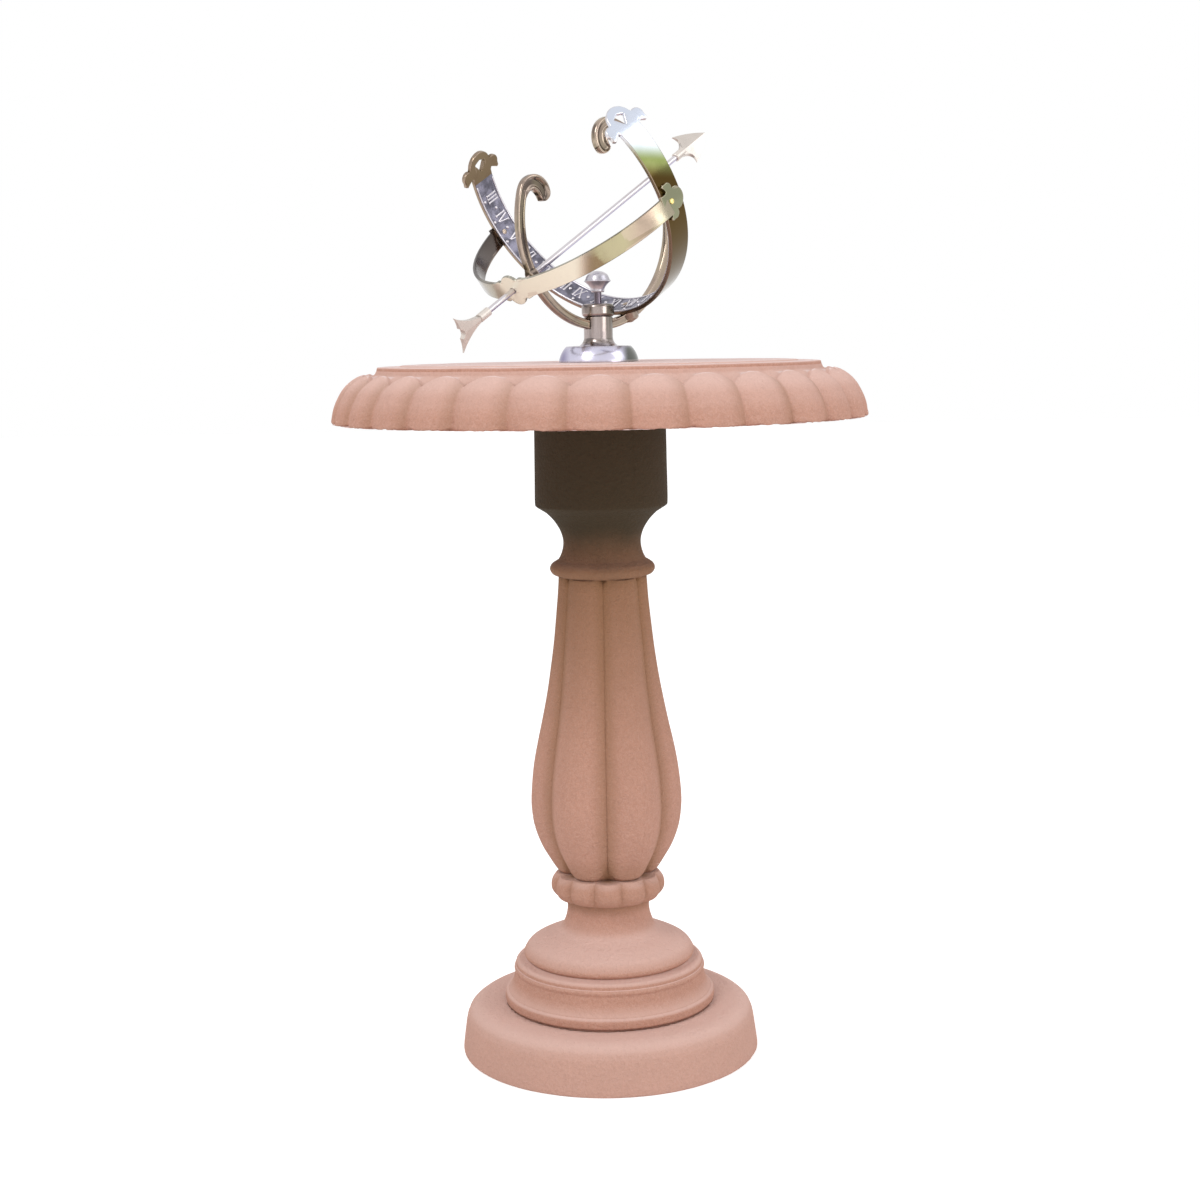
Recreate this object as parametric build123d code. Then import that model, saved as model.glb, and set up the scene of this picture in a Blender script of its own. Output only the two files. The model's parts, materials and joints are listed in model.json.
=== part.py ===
from build123d import *
import os
from math import acos, asin, atan2, cos, degrees, radians, sin, sqrt

# Garden sundial: a cast stone pedestal with a gadrooned round top, and a bronze armillary
# dial whose rings slide through a clamp in the dial's own foot.
#
# Frame: millimetres, +Z up, origin on the ground at the centre of the plinth.
# The dial has a second frame of its own, DIAL: its origin is the centre of the meridian
# ring, X runs along the gnomon towards the arrow head, Y lies in the ring's plane and
# points up, and Z is the level east-west axis that the ring tilts about.

# ---- pedestal ----
PLINTH_R = 149.0          # radius at the ground
PLINTH_TAPER = 5.5        # how much the side leans in
PLINTH_H = 49.0
PLINTH_ROUND = 13.0       # rounding of the upper edge
MORTAR = 2.0              # thickness of each bed joint
MORTAR_INSET = 1.5        # how far the joint is raked back

FOOT_R = 105.5            # lowest bead of the baluster
FOOT_H = 68.0
LOWER_NECK_R = 40.8
LOWER_NECK_H = 35.0
COLLAR_R = 56.8           # scalloped collar under the body
COLLAR_H = 31.0
COLLAR_LOBES = 12
BODY_R = 75.0             # widest point of the lobed body
BODY_H = 294.0
BODY_NECK_R = 43.4        # lobed body at its upper end
BODY_LOBES = 6
TORUS_R = 51.7
TORUS_H = 16.0
COVE_R = 38.1             # narrowest point of the cove
COVE_H = 54.0
DRUM_R = 65.2
DRUM_H = 82.0

TABLE_R = 261.0
TABLE_EDGE_H = 50.0
TABLE_LOBES = 30
LOBE_DEPTH = 4.5          # depth of the grooves between the rim's lobes
DISC_R = 216.0            # raised disc on the table
DISC_H = 5.0
DISC_STEP_IN = 22.0
DISC_STEP_H = 1.4

# ---- pins and fixings inside the pedestal ----
DOWEL_R = 8.0
DOWEL_DEPTH = 34.0        # depth of a dowel in each stone
DOWEL_GAP = 0.3
STUD_R = 5.0
STUD_IN_FOOT = 11.0
WASHER_R = 15.0
WASHER_T = 2.5
NUT_AF = 17.0
NUT_H = 8.0
POCKET_R = 24.0           # pocket for the nut in the underside of the table
POCKET_H = 18.0
FIXING_GAP = 0.05

# ---- dial: setting ----
LATITUDE = 31.2           # slope of the gnomon, degrees
BEARING = 46.5            # plan direction of the gnomon from +Y towards +X, degrees

# ---- dial: meridian ring ----
RING_R = 102.5
RING_T = 9.0              # radial
RING_W = 7.0              # axial
RING_HALF_ARC = 137.0     # degrees from the lowest point to each scroll
RING_ROUND = 2.0
SCROLL_R = 19.5
SCROLL_TAIL = -24.0       # where the scroll's back ends, degrees
ROD_BOSS_R = 6.0
CROSSING_BOSS_R = 8.5
BAND_SEAT = 3.5           # stand-off of the hour band from the ring

# ---- dial: hour band ----
BAND_R = 124.0
BAND_T = 4.0
BAND_W = 26.0
BAND_HALF_ARC = 110.8
BAND_TURN = 2.8           # how far the band's ends are set round from level, degrees
BAND_BACK = 9.0           # how far the band stands from the ring's centre, towards the tail
BAND_ROLL = 4.2           # how far band and hoop are set round the gnomon from square, degrees
FINIAL_HALF_W = 25.0
FINIAL_LOBE_R = 14.0
FINIAL_CURL_R = 7.0
FINIAL_LEN = 26.0

# ---- dial: brace hoop ----
HOOP_T = 3.0
HOOP_W = 18.5
HOOP_REACH = 125.0        # distance from the ring's centre to the hoop along the gnomon
HOOP_RISE = 13.0          # height of the hoop's ends over the gnomon
BOSS_HALF_W = 16.0        # half width of the hoop's shaped eye
HOOP_END_SCALE = 0.7     # hoop ends against the band's finials
RIVET_R = 1.6
RIVET_HEAD_R = 2.8
RIVET_HEAD_H = 1.3

# ---- dial: gnomon ----
ROD_R = 2.75
ROD_GAP = 0.05
ROD_HEAD_LEN = 137.0      # from the ring's centre to the end of the rod in the arrow head
ROD_TAIL_LEN = 170.0
ARROW_TIP = 177.0
ARROW_BARB = 144.0
ARROW_HALF_W = 17.5
ARROW_ROLL = -56.0        # blade's turn about the rod, degrees
SOCKET_R = 4.3
SOCKET_START = 128.0
TAIL_END = 205.0
TAIL_HALF_W = 18.8
TAIL_ROLL = 75.0
TAIL_SOCKET_START = 162.0
BLADE_T = 3.2             # half thickness of a blade along its ridge
SCREW_R = 1.5
SCREW_HEAD_R = 2.6

# ---- dial: foot and clamp ----
FLANGE_R = 38.6
FLANGE_H = 15.0
POST_R = 14.0
SEAT_H = 30.5             # height of the ring's seat over the table
SLOT_GAP = 0.25           # side clearance of the ring in its slot
SEAT_GAP = 0.15
CHEEK_R = 12.0
CHEEK_H = 21.0            # cheeks over the seat
CAP_R = 15.8
CAP_H = 12.5
CAP_BASE = 12.6           # cap's lower face over the seat
CAP_GAP = 0.05
CLAMP_SCREW_R = 3.6
CLAMP_GAP = 0.06
PAD_T = 3.6
PAD_LEN = 15.0
NECK_SHOW = 11.0          # bare screw between cap and knob
KNOB_R = 12.9
KNOB_H = 20.5
KNOB_STEM_R = 6.6

# ---- levels worked out from the sizes ----
BALUSTER_H = FOOT_H + LOWER_NECK_H + COLLAR_H + BODY_H + TORUS_H + COVE_H + DRUM_H
BALUSTER_Z = PLINTH_H + MORTAR
TABLE_Z = BALUSTER_Z + BALUSTER_H + MORTAR
TOP_Z = TABLE_Z + TABLE_EDGE_H + DISC_H
SEAT_Z = TOP_Z + SEAT_H
RING_Z = SEAT_Z + RING_R
RING_IN = RING_R - RING_T
BAND_IN = BAND_R - BAND_T
BAND_LIFT = BAND_R - (RING_IN - BAND_SEAT)


def dial_plane():
    """The dial's frame in the part's frame."""
    lat = radians(LATITUDE)
    bearing = radians(BEARING)
    gnomon = (cos(lat) * sin(bearing), cos(lat) * cos(bearing), sin(lat))
    east = (cos(bearing), -sin(bearing), 0)
    return Plane(origin=(0, 0, RING_Z), x_dir=gnomon, z_dir=east)


DIAL = dial_plane()
BAND_UP = Vector(0, cos(radians(BAND_ROLL)), -sin(radians(BAND_ROLL)))
BAND_SIDE = Vector(0, sin(radians(BAND_ROLL)), cos(radians(BAND_ROLL)))
BAND_PLANE = Plane(origin=Vector(-BAND_BACK, 0, 0) + BAND_UP * BAND_LIFT, x_dir=BAND_SIDE, z_dir=(-1, 0, 0))


def polar(radius, angle):
    """Point at a radius and an angle in degrees."""
    return (radius * cos(radians(angle)), radius * sin(radians(angle)))


def turned(outline):
    """Solid turned about Z from a closed outline of (radius, height)."""
    return revolve(Plane.XZ * make_face(outline), Axis.Z)


def disc(radius, height, base):
    """Plain cylinder standing at a height."""
    return Pos(0, 0, base + height / 2) * Cylinder(radius, height)


def lobed_face(crest, groove, count, first, height):
    """Horizontal face whose edge is a row of convex lobes."""
    step = 360 / count
    edges = []
    for k in range(count):
        a = first + k * step
        middle = polar(crest, a + step / 2)
        edges.append(ThreePointArc(polar(groove, a), middle, polar(groove, a + step)))
    return Pos(0, 0, height) * make_face(edges)


# ---- pedestal ----
def plinth():
    """Round plinth with a leaning side and a well-rounded upper edge."""
    top_r = PLINTH_R - PLINTH_TAPER
    body = turned(Polyline((0, 0), (PLINTH_R, 0), (top_r, PLINTH_H), (0, PLINTH_H), close=True))
    body = fillet(body.edges().group_by(Axis.Z)[-1], PLINTH_ROUND)
    return body - dowel_hole(PLINTH_H - DOWEL_DEPTH, PLINTH_H)


def dowel_hole(low, high):
    """Cutter for a dowel's hole from one level to another."""
    return disc(DOWEL_R + DOWEL_GAP, high - low, low)


def mortar_bed(radius, hole_r, base):
    """Thin ring of mortar in a bed joint."""
    return disc(radius - MORTAR_INSET, MORTAR, base) - disc(hole_r, MORTAR, base)


def dowel(bed):
    """Steel dowel through the bed joint at a height."""
    return disc(DOWEL_R, 2 * DOWEL_DEPTH + MORTAR, bed - DOWEL_DEPTH)


def baluster_foot():
    """Lowest bead, cove, double bead and bell, up to the lower neck."""
    z = BALUSTER_Z
    bell_r = 0.81 * FOOT_R
    top = z + FOOT_H
    outline = (
        Line((0, z), (FOOT_R - 1.5, z))
        + ThreePointArc((FOOT_R - 1.5, z), (FOOT_R, z + 0.07 * FOOT_H), (FOOT_R - 3, z + 0.14 * FOOT_H))
        + Spline(
            (FOOT_R - 3, z + 0.14 * FOOT_H),
            (0.935 * FOOT_R, z + 0.26 * FOOT_H),
            (0.905 * FOOT_R, z + 0.4 * FOOT_H),
        )
        + ThreePointArc(
            (0.905 * FOOT_R, z + 0.4 * FOOT_H),
            (0.915 * FOOT_R, z + 0.46 * FOOT_H),
            (0.885 * FOOT_R, z + 0.52 * FOOT_H),
        )
        + ThreePointArc(
            (0.885 * FOOT_R, z + 0.52 * FOOT_H),
            (0.875 * FOOT_R, z + 0.575 * FOOT_H),
            (0.835 * FOOT_R, z + 0.61 * FOOT_H),
        )
        + Line((0.835 * FOOT_R, z + 0.61 * FOOT_H), (bell_r, z + 0.63 * FOOT_H))
        + Spline(
            (bell_r, z + 0.63 * FOOT_H),
            (0.92 * bell_r, z + 0.76 * FOOT_H),
            (0.78 * bell_r, z + 0.88 * FOOT_H),
            (LOWER_NECK_R + 11, top),
            (LOWER_NECK_R + 3.4, top + 0.28 * LOWER_NECK_H),
            (LOWER_NECK_R, top + 0.68 * LOWER_NECK_H),
            (LOWER_NECK_R + 0.8, top + LOWER_NECK_H),
        )
    )
    high = top + LOWER_NECK_H + 2
    outline += Polyline((LOWER_NECK_R + 0.8, high - 2), (LOWER_NECK_R + 0.8, high), (0, high), (0, z))
    return turned(outline)


def collar():
    """Scalloped collar: rounded lobes pressed out of a ring."""
    base = BALUSTER_Z + FOOT_H + LOWER_NECK_H
    mid = base + COLLAR_H / 2
    lobe_r = 0.27 * COLLAR_R
    lobe = Pos(COLLAR_R - lobe_r, 0, mid) * Sphere(lobe_r)
    core = Spline(
        (0.72 * COLLAR_R, base),
        (0.9 * COLLAR_R, mid - 0.32 * COLLAR_H),
        (0.95 * COLLAR_R, mid),
        (0.9 * COLLAR_R, mid + 0.32 * COLLAR_H),
        (0.74 * COLLAR_R, base + COLLAR_H),
    )
    top = base + COLLAR_H
    core += Polyline((0.74 * COLLAR_R, top), (0, top), (0, base), (0.72 * COLLAR_R, base))
    ring = turned(core)
    for k in range(COLLAR_LOBES):
        ring += Rot(0, 0, -90 + 360 / COLLAR_LOBES * k) * lobe
    return ring


def body():
    """Lobed body, swelling low down and slim towards its neck."""
    base = BALUSTER_Z + FOOT_H + LOWER_NECK_H + COLLAR_H
    swell = BODY_R - BODY_NECK_R
    # share of the swelling at even steps of height, from inside the collar up to the torus
    shares = (-0.1, 0.21, 0.78, 0.985, 0.955, 0.826, 0.595, 0.405, 0.256, 0.14, 0.05, 0.0)
    step = (BODY_H + 0.25 * TORUS_H) / (len(shares) - 2)
    faces = []
    for k, share in enumerate(shares):
        crest = BODY_NECK_R + share * swell
        groove = crest * (0.93 - 0.05 * max(share, 0))
        faces.append(lobed_face(crest, groove, BODY_LOBES, -90, base + (k - 1) * step))
    return loft(faces)


def baluster_head():
    """Torus, cove and the plain drum that carries the table."""
    z = BALUSTER_Z + FOOT_H + LOWER_NECK_H + COLLAR_H + BODY_H
    cove = z + TORUS_H
    drum = cove + COVE_H
    root = 0.8 * BODY_NECK_R
    outline = (
        Polyline((0, z - 2), (root, z - 2), (root, z))
        + ThreePointArc((root, z), (TORUS_R, z + TORUS_H / 2), (BODY_NECK_R - 1, cove))
        + Spline(
            (BODY_NECK_R - 1, cove),
            (COVE_R + 1.5, cove + 0.16 * COVE_H),
            (COVE_R, cove + 0.36 * COVE_H),
            (COVE_R + 6.6, cove + 0.64 * COVE_H),
            (0.84 * DRUM_R, cove + 0.85 * COVE_H),
        )
        + Polyline(
            (0.84 * DRUM_R, cove + 0.85 * COVE_H),
            (0.93 * DRUM_R, cove + 0.91 * COVE_H),
            (DRUM_R, drum),
            (DRUM_R, drum + DRUM_H),
            (0, drum + DRUM_H),
            (0, z - 2),
        )
    )
    return turned(outline)


def baluster():
    """The whole baluster, one casting, with a dowel hole in its foot."""
    stone = baluster_foot() + collar() + body() + baluster_head()
    return stone - dowel_hole(BALUSTER_Z, BALUSTER_Z + DOWEL_DEPTH)


def table_top():
    """Round top with a gadrooned rim, a raised disc, and a pocket for the dial's nut."""
    # share of the edge's height, share of the step from rim to disc
    stations = ((0, 0), (0.14, 0.02), (0.46, 0.125), (0.74, 0.33), (0.9, 0.58), (1.0, 0.92))
    reach = TABLE_R - DISC_R
    first = -90 + 180 / TABLE_LOBES
    faces = []
    for level, share in stations:
        crest = TABLE_R - share * reach
        groove = crest - LOBE_DEPTH * (1 - 0.3 * level)
        faces.append(lobed_face(crest, groove, TABLE_LOBES, first, TABLE_Z + level * TABLE_EDGE_H))
    stone = loft(faces)
    low = TOP_Z - DISC_H
    stone += disc(DISC_R, DISC_H - DISC_STEP_H, low)
    stone += disc(DISC_R - DISC_STEP_IN, DISC_STEP_H, TOP_Z - DISC_STEP_H)
    stone -= disc(POCKET_R, POCKET_H, TABLE_Z)
    return stone - disc(STUD_R + DOWEL_GAP, TOP_Z - TABLE_Z, TABLE_Z)


# ---- fixing of the dial ----
def dial_stud():
    """Stud from the dial's foot down into the pocket."""
    low = TABLE_Z + POCKET_H - WASHER_T - NUT_H - 2.5
    return disc(STUD_R, TOP_Z + STUD_IN_FOOT - 0.5 - low, low)


def stud_washer():
    """Washer against the roof of the pocket."""
    low = TABLE_Z + POCKET_H - WASHER_T
    return disc(WASHER_R, WASHER_T, low) - disc(STUD_R + FIXING_GAP, WASHER_T, low)


def stud_nut():
    """Hexagon nut under the washer."""
    low = TABLE_Z + POCKET_H - WASHER_T - NUT_H
    nut = Pos(0, 0, low) * extrude(RegularPolygon(NUT_AF / 2, 6, major_radius=False), NUT_H)
    return nut - disc(STUD_R + FIXING_GAP, NUT_H, low)


def dial_foot():
    """Bell-shaped flange and post, slotted for the ring, in one casting."""
    z = TOP_Z
    shoulder = 0.85 * FLANGE_R
    flare = POST_R + 4.6
    waist = z + FLANGE_H + 8
    seat = SEAT_Z + CAP_BASE - 0.2
    outline = (
        Line((0, z), (FLANGE_R, z))
        + Line((FLANGE_R, z), (FLANGE_R, z + 1))
        + Spline(
            (FLANGE_R, z + 1),
            (0.965 * FLANGE_R, z + 0.4 * FLANGE_H),
            (shoulder + 1.4, z + 0.78 * FLANGE_H),
            (shoulder - 1.5, z + FLANGE_H),
        )
        + Line((shoulder - 1.5, z + FLANGE_H), (flare, z + FLANGE_H + 0.6))
        + Spline((flare, z + FLANGE_H + 0.6), (POST_R + 1.2, z + FLANGE_H + 4), (POST_R, waist))
        + Polyline(
            (POST_R, waist),
            (POST_R, seat),
            (CHEEK_R, seat),
            (CHEEK_R, SEAT_Z + CHEEK_H),
            (0, SEAT_Z + CHEEK_H),
            (0, z),
        )
    )
    foot = turned(outline)
    slot = Cylinder(RING_R + SEAT_GAP, RING_W + 2 * SLOT_GAP)
    foot -= DIAL * slot
    bore_low = SEAT_Z + RING_T + 1
    foot -= disc(CLAMP_SCREW_R + CLAMP_GAP, CHEEK_H, bore_low)
    return foot - disc(STUD_R + FIXING_GAP, STUD_IN_FOOT, TOP_Z)


def clamp_cap():
    """Rounded cap round the cheeks, with the clamp screw's hole in its roof."""
    low = SEAT_Z + CAP_BASE
    round_r = 3.4
    cap = disc(CAP_R, CAP_H, low)
    cap = fillet(cap.edges(), round_r)
    inner_h = SEAT_Z + CHEEK_H + CAP_GAP - low
    cap -= disc(CHEEK_R + CAP_GAP, inner_h, low)
    return cap - disc(CLAMP_SCREW_R + CLAMP_GAP, CAP_H, low)


def pad_low():
    """Level of the pressure pad's underside at its middle."""
    return SEAT_Z + RING_T + SEAT_GAP


def pressure_pad():
    """Shoe that the clamp screw presses onto the ring's inner face."""
    block = Rot(0, 0, 90 - BEARING) * Box(PAD_LEN, RING_W - 0.6, PAD_T)
    block = Pos(0, 0, pad_low() + PAD_T / 2) * block
    return block - DIAL * shell(RING_IN - SEAT_GAP, RING_R + 5, 2 * RING_W)


def clamp_screw():
    """Plain shank with a rounded end, from the pad into the knob."""
    low = pad_low() + PAD_T + 0.02
    high = SEAT_Z + CAP_BASE + CAP_H + NECK_SHOW + KNOB_H * 0.45
    shank = disc(CLAMP_SCREW_R, high - low, low)
    return chamfer(shank.edges().group_by(Axis.Z)[0], 0.8)


def clamp_knob():
    """Turned knob: slim stem, wide rim and a low dome."""
    z = SEAT_Z + CAP_BASE + CAP_H + NECK_SHOW
    rim = z + 0.52 * KNOB_H
    outline = (
        Line((0, z), (KNOB_STEM_R - 0.8, z))
        + Line((KNOB_STEM_R - 0.8, z), (KNOB_STEM_R, z + 1))
        + Spline(
            (KNOB_STEM_R, z + 1),
            (KNOB_STEM_R + 0.5, z + 0.2 * KNOB_H),
            (KNOB_R - 3.2, z + 0.38 * KNOB_H),
            (KNOB_R - 0.5, rim - 0.6),
        )
        + ThreePointArc((KNOB_R - 0.5, rim - 0.6), (KNOB_R, rim), (KNOB_R - 0.5, rim + 0.7))
        + Spline(
            (KNOB_R - 0.5, rim + 0.7),
            (0.74 * KNOB_R, z + 0.83 * KNOB_H),
            (0.4 * KNOB_R, z + 0.96 * KNOB_H),
            (0, z + KNOB_H),
            tangents=((-0.6, 1), (-1, 0)),
        )
        + Line((0, z + KNOB_H), (0, z))
    )
    hole_top = z + KNOB_H * 0.45 + 0.3
    return turned(outline) - disc(CLAMP_SCREW_R + FIXING_GAP, hole_top - z, z)


# ---- rings ----
def arc_bar(inner, outer, width, half_arc, rounding, turn=0):
    """Bar of rounded section bent round Z, centred on -Y."""
    section = Plane.XZ * Pos((inner + outer) / 2, 0) * RectangleRounded(outer - inner, width, rounding)
    return Rot(0, 0, -90 - half_arc + turn) * revolve(section, Axis.Z, revolution_arc=2 * half_arc)


def scroll():
    """Inward-curling scroll at the ring's right-hand end."""
    start = RING_HALF_ARC - 90
    overlap = start - 5
    cx, cy = polar(RING_R - SCROLL_R, start)
    share = SCROLL_R / 19.5

    def at(x, y):
        """Point measured from the scroll's centre."""
        return (cx + share * x, cy + share * y)

    back = polar(RING_R, start)
    crown = polar(SCROLL_R, (start + 180 - SCROLL_TAIL) / 2)
    tail = polar(SCROLL_R, 180 - SCROLL_TAIL)
    tip = at(-4.7, -8.2)
    throat = at(3.4, 6.2)
    outline = (
        ThreePointArc(back, (cx + crown[0], cy + crown[1]), (cx + tail[0], cy + tail[1]))
        + ThreePointArc((cx + tail[0], cy + tail[1]), at(-11.5, -10.6), tip)
        + ThreePointArc(tip, at(-2.4, 2.2), throat)
        + Polyline(throat, polar(RING_IN, overlap), polar(RING_R, overlap), back)
    )
    return Pos(0, 0, -RING_W / 2) * extrude(make_face(outline), RING_W)


def radial_boss(radius, angle, inner, outer):
    """Round boss whose axis points out from the ring's centre at an angle from +X."""
    middle = (inner + outer) / 2
    return Rot(0, 0, angle) * Pos(middle, 0, 0) * Rot(0, 90, 0) * Cylinder(radius, outer - inner)


def crossing_angle():
    """Place of the hour band on the meridian ring, degrees from +X."""
    return -90 - degrees(asin(BAND_BACK / RING_IN))


def meridian_ring():
    """C-shaped ring with scrolled ends, rod bosses and the hour band's seat."""
    ring = arc_bar(RING_IN, RING_R, RING_W, RING_HALF_ARC, RING_ROUND)
    right = scroll()
    ring += right
    ring += mirror(right, about=Plane.YZ)
    for angle in (0, 180):
        ring += radial_boss(ROD_BOSS_R, angle, RING_IN - 1, RING_R + 1)
    cross = crossing_angle()
    ring += radial_boss(CROSSING_BOSS_R, cross, RING_IN - BAND_SEAT - 1, RING_R + 0.8)
    ring -= BAND_PLANE * Cylinder(BAND_R + FIXING_GAP, BAND_W + 20)
    ring -= radial_boss(RIVET_R + ROD_GAP, cross, RING_IN - 20, RING_R + 5)
    ring -= rod_hole()
    return ring - set_screw_hole()


def rod_hole():
    """Cutter for the gnomon rod, right through the dial."""
    return Rot(0, 90, 0) * Cylinder(ROD_R + ROD_GAP, 2 * TAIL_END)


def screw_x():
    """Place of the rod's set screw along the rod."""
    return RING_R - RING_T / 2


def set_screw_hole():
    """Cutter for the set screw, from the ring's side to the rod."""
    return Pos(screw_x(), 0, -ROD_BOSS_R) * Cylinder(SCREW_R + ROD_GAP, 2 * ROD_BOSS_R)


def gnomon_set_screw():
    """Brass screw that holds the rod in the ring's upper boss."""
    shank_len = ROD_BOSS_R - ROD_R
    shank = Pos(screw_x(), 0, -ROD_R - 0.05 - shank_len / 2) * Cylinder(SCREW_R, shank_len)
    head_low = ROD_R + 0.05 + shank_len
    head = Pos(screw_x(), 0, -head_low - SCREW_HEAD_R) * Cylinder(SCREW_HEAD_R, 2 * SCREW_HEAD_R)
    return shank + chamfer(head.edges(), 0.5)


def finial_pattern(scale_by):
    """Flat trefoil: round lobe, two curls with barbs that point back, pierced in the middle."""
    half = FINIAL_HALF_W
    lobe_x = FINIAL_LEN / 2 - 7.5
    shape = Pos(lobe_x, 0) * Circle(FINIAL_LOBE_R)
    shape += Pos(-FINIAL_LEN / 2 + 2, 0) * Rectangle(FINIAL_LEN / 2 + 12, BAND_W - 1)
    for side in (-1, 1):
        shape += Pos(0.5, side * (half - FINIAL_CURL_R)) * Circle(FINIAL_CURL_R)
        outer = (-7.5, side * 0.94 * half)
        barb = Polyline(outer, (-4.5, side * 0.56 * half), (3, side * 0.7 * half), close=True)
        shape += make_face(barb)
    window = Polyline((-1, 0), (9, -6.8), (11, 0), (9, 6.8), close=True)
    shape -= fillet(make_face(window).vertices(), 1.2)
    return shape.scale(scale_by)


def sector(radius, width, half_arc, turn=0):
    """Pie-shaped prism of a width along Z, centred on -Y."""
    first = polar(radius, -90 - half_arc + turn)
    last = polar(radius, -90 + half_arc + turn)
    edge = ThreePointArc(first, polar(radius, -90 + turn), last)
    pie = make_face(Line((0, 0), first) + edge + Line(last, (0, 0)))
    return Pos(0, 0, -width / 2) * extrude(pie, width)


def shell(inner, outer, width):
    """Plain ring about Z."""
    return Cylinder(outer, width) - Cylinder(inner, width)


def standing(angle, pattern, radius):
    """Prism of a flat pattern, pointing out at an angle from -Y, with its X away from -Y."""
    side = 1 if angle > 0 else -1
    turn = radians(angle)
    low = radius - 15
    place = Plane(
        origin=(low * sin(turn), -low * cos(turn), 0),
        x_dir=(side * cos(turn), side * sin(turn), 0),
        z_dir=(sin(turn), -cos(turn), 0),
    )
    return place * extrude(pattern, 30)


def hour_band():
    """Open band with pierced trefoil ends, seated inside the meridian ring."""
    blank = sector(2 * BAND_R, BAND_W, BAND_HALF_ARC - 3, BAND_TURN)
    beyond = BAND_HALF_ARC + degrees((FINIAL_LEN / 2 - 4) / BAND_R)
    for side in (-1, 1):
        blank += standing(side * beyond + BAND_TURN, finial_pattern(1), BAND_R)
    band = BAND_PLANE * (shell(BAND_IN, BAND_R, 3 * BAND_W) & blank)
    band -= radial_boss(RIVET_R + ROD_GAP, crossing_angle(), RING_IN - 30, RING_R)
    return band - hoop_rivet_holes()


def crossing_rivet():
    """Rivet through the ring and the hour band, with a head on each side."""
    cross = crossing_angle()
    low = RING_IN - BAND_SEAT - BAND_T - 0.4
    high = RING_R + 0.9
    pin = radial_boss(RIVET_R, cross, low - 0.2, high + 0.2)
    outer = radial_boss(RIVET_HEAD_R + 1, cross, high, high + 2)
    inner = radial_boss(RIVET_HEAD_R, cross, low - RIVET_HEAD_H, low)
    return pin + outer + inner


# ---- brace hoop ----
def hoop_plane():
    """Plane of the hoop: through the gnomon at its eye, rising to its ends on the band."""
    slope = atan2(HOOP_RISE, HOOP_REACH)
    inner = hoop_inner()
    run = inner + HOOP_T / 2
    origin = Vector(run * cos(slope) - HOOP_REACH, 0, 0) + BAND_UP * (run * sin(slope))
    normal = Vector(-sin(slope), 0, 0) + BAND_UP * cos(slope)
    return Plane(origin=origin, x_dir=BAND_SIDE, z_dir=normal)


def band_angle():
    """Angle on the hour band, from its middle, where the hoop meets it."""
    return degrees(acos((BAND_LIFT - HOOP_RISE) / BAND_R))


def hoop_inner():
    """Radius of the hoop's inner face, so that it meets the band's outer face at its edge."""
    half = BAND_R * sin(radians(band_angle()))
    return sqrt(half ** 2 + (BAND_BACK + BAND_W / 2) ** 2)


def hoop_end(side):
    """Trefoil plate that lies on the band's outer face at one end of the hoop."""
    pattern = Rot(0, 0, -side * 90) * finial_pattern(HOOP_END_SCALE)
    prism = standing(side * band_angle(), pattern, BAND_R)
    return BAND_PLANE * (shell(BAND_R + FIXING_GAP, BAND_R + HOOP_T, 3 * BAND_W) & prism)


def rivet_axis(side):
    """Frame on the band's outer face, Z pointing out, at one of the hoop's rivets."""
    tip = radians(side * band_angle())
    spot = (BAND_R * sin(tip), -BAND_R * cos(tip), 4.5)
    return BAND_PLANE * Plane(origin=spot, z_dir=(sin(tip), -cos(tip), 0)).location


def hoop_rivet_holes():
    """Cutter for both rivets' holes."""
    hole = Cylinder(RIVET_R + ROD_GAP, 30)
    return rivet_axis(-1) * hole + rivet_axis(1) * hole


def hoop_rivets():
    """Two brass rivets, one in each end of the hoop."""
    grip = HOOP_T + BAND_T + FIXING_GAP
    pin = Pos(0, 0, HOOP_T - grip / 2) * Cylinder(RIVET_R, grip + 0.8)
    outer = Pos(0, 0, HOOP_T + 0.3 + RIVET_HEAD_H / 2) * Cylinder(RIVET_HEAD_R, RIVET_HEAD_H)
    inner = Pos(0, 0, -BAND_T - 0.3 - RIVET_HEAD_H / 2) * Cylinder(RIVET_HEAD_R, RIVET_HEAD_H)
    rivet = pin + outer + inner
    return Compound(children=[rivet_axis(-1) * rivet, rivet_axis(1) * rivet])


def brace_hoop():
    """Half hoop outside the ring, with an eye for the rod and a trefoil plate at each end."""
    inner = hoop_inner()
    reach = degrees(asin((BAND_BACK + BAND_W / 2 + 0.3) / inner))
    eye = Circle(0.62 * BOSS_HALF_W)
    lobe_r = 0.4 * BOSS_HALF_W
    for side in (-1, 1):
        for along in (-0.45, 0.45):
            eye += Pos(along * BOSS_HALF_W, side * (BOSS_HALF_W - lobe_r)) * Circle(lobe_r)
    blank = sector(2 * inner, HOOP_W, 90 - reach)
    blank += Plane.XZ.offset(inner - 15) * extrude(eye, 30)
    hoop = hoop_plane() * (shell(inner, inner + HOOP_T, 4 * BOSS_HALF_W) & blank)
    for side in (-1, 1):
        hoop += hoop_end(side)
    return hoop - rod_hole() - hoop_rivet_holes()


# ---- gnomon ----
def gnomon_rod():
    """Plain rod through the hoop's eye and both sides of the ring."""
    length = ROD_HEAD_LEN + ROD_TAIL_LEN
    return Pos((ROD_HEAD_LEN - ROD_TAIL_LEN) / 2, 0, 0) * Rot(0, 90, 0) * Cylinder(ROD_R, length)


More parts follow.
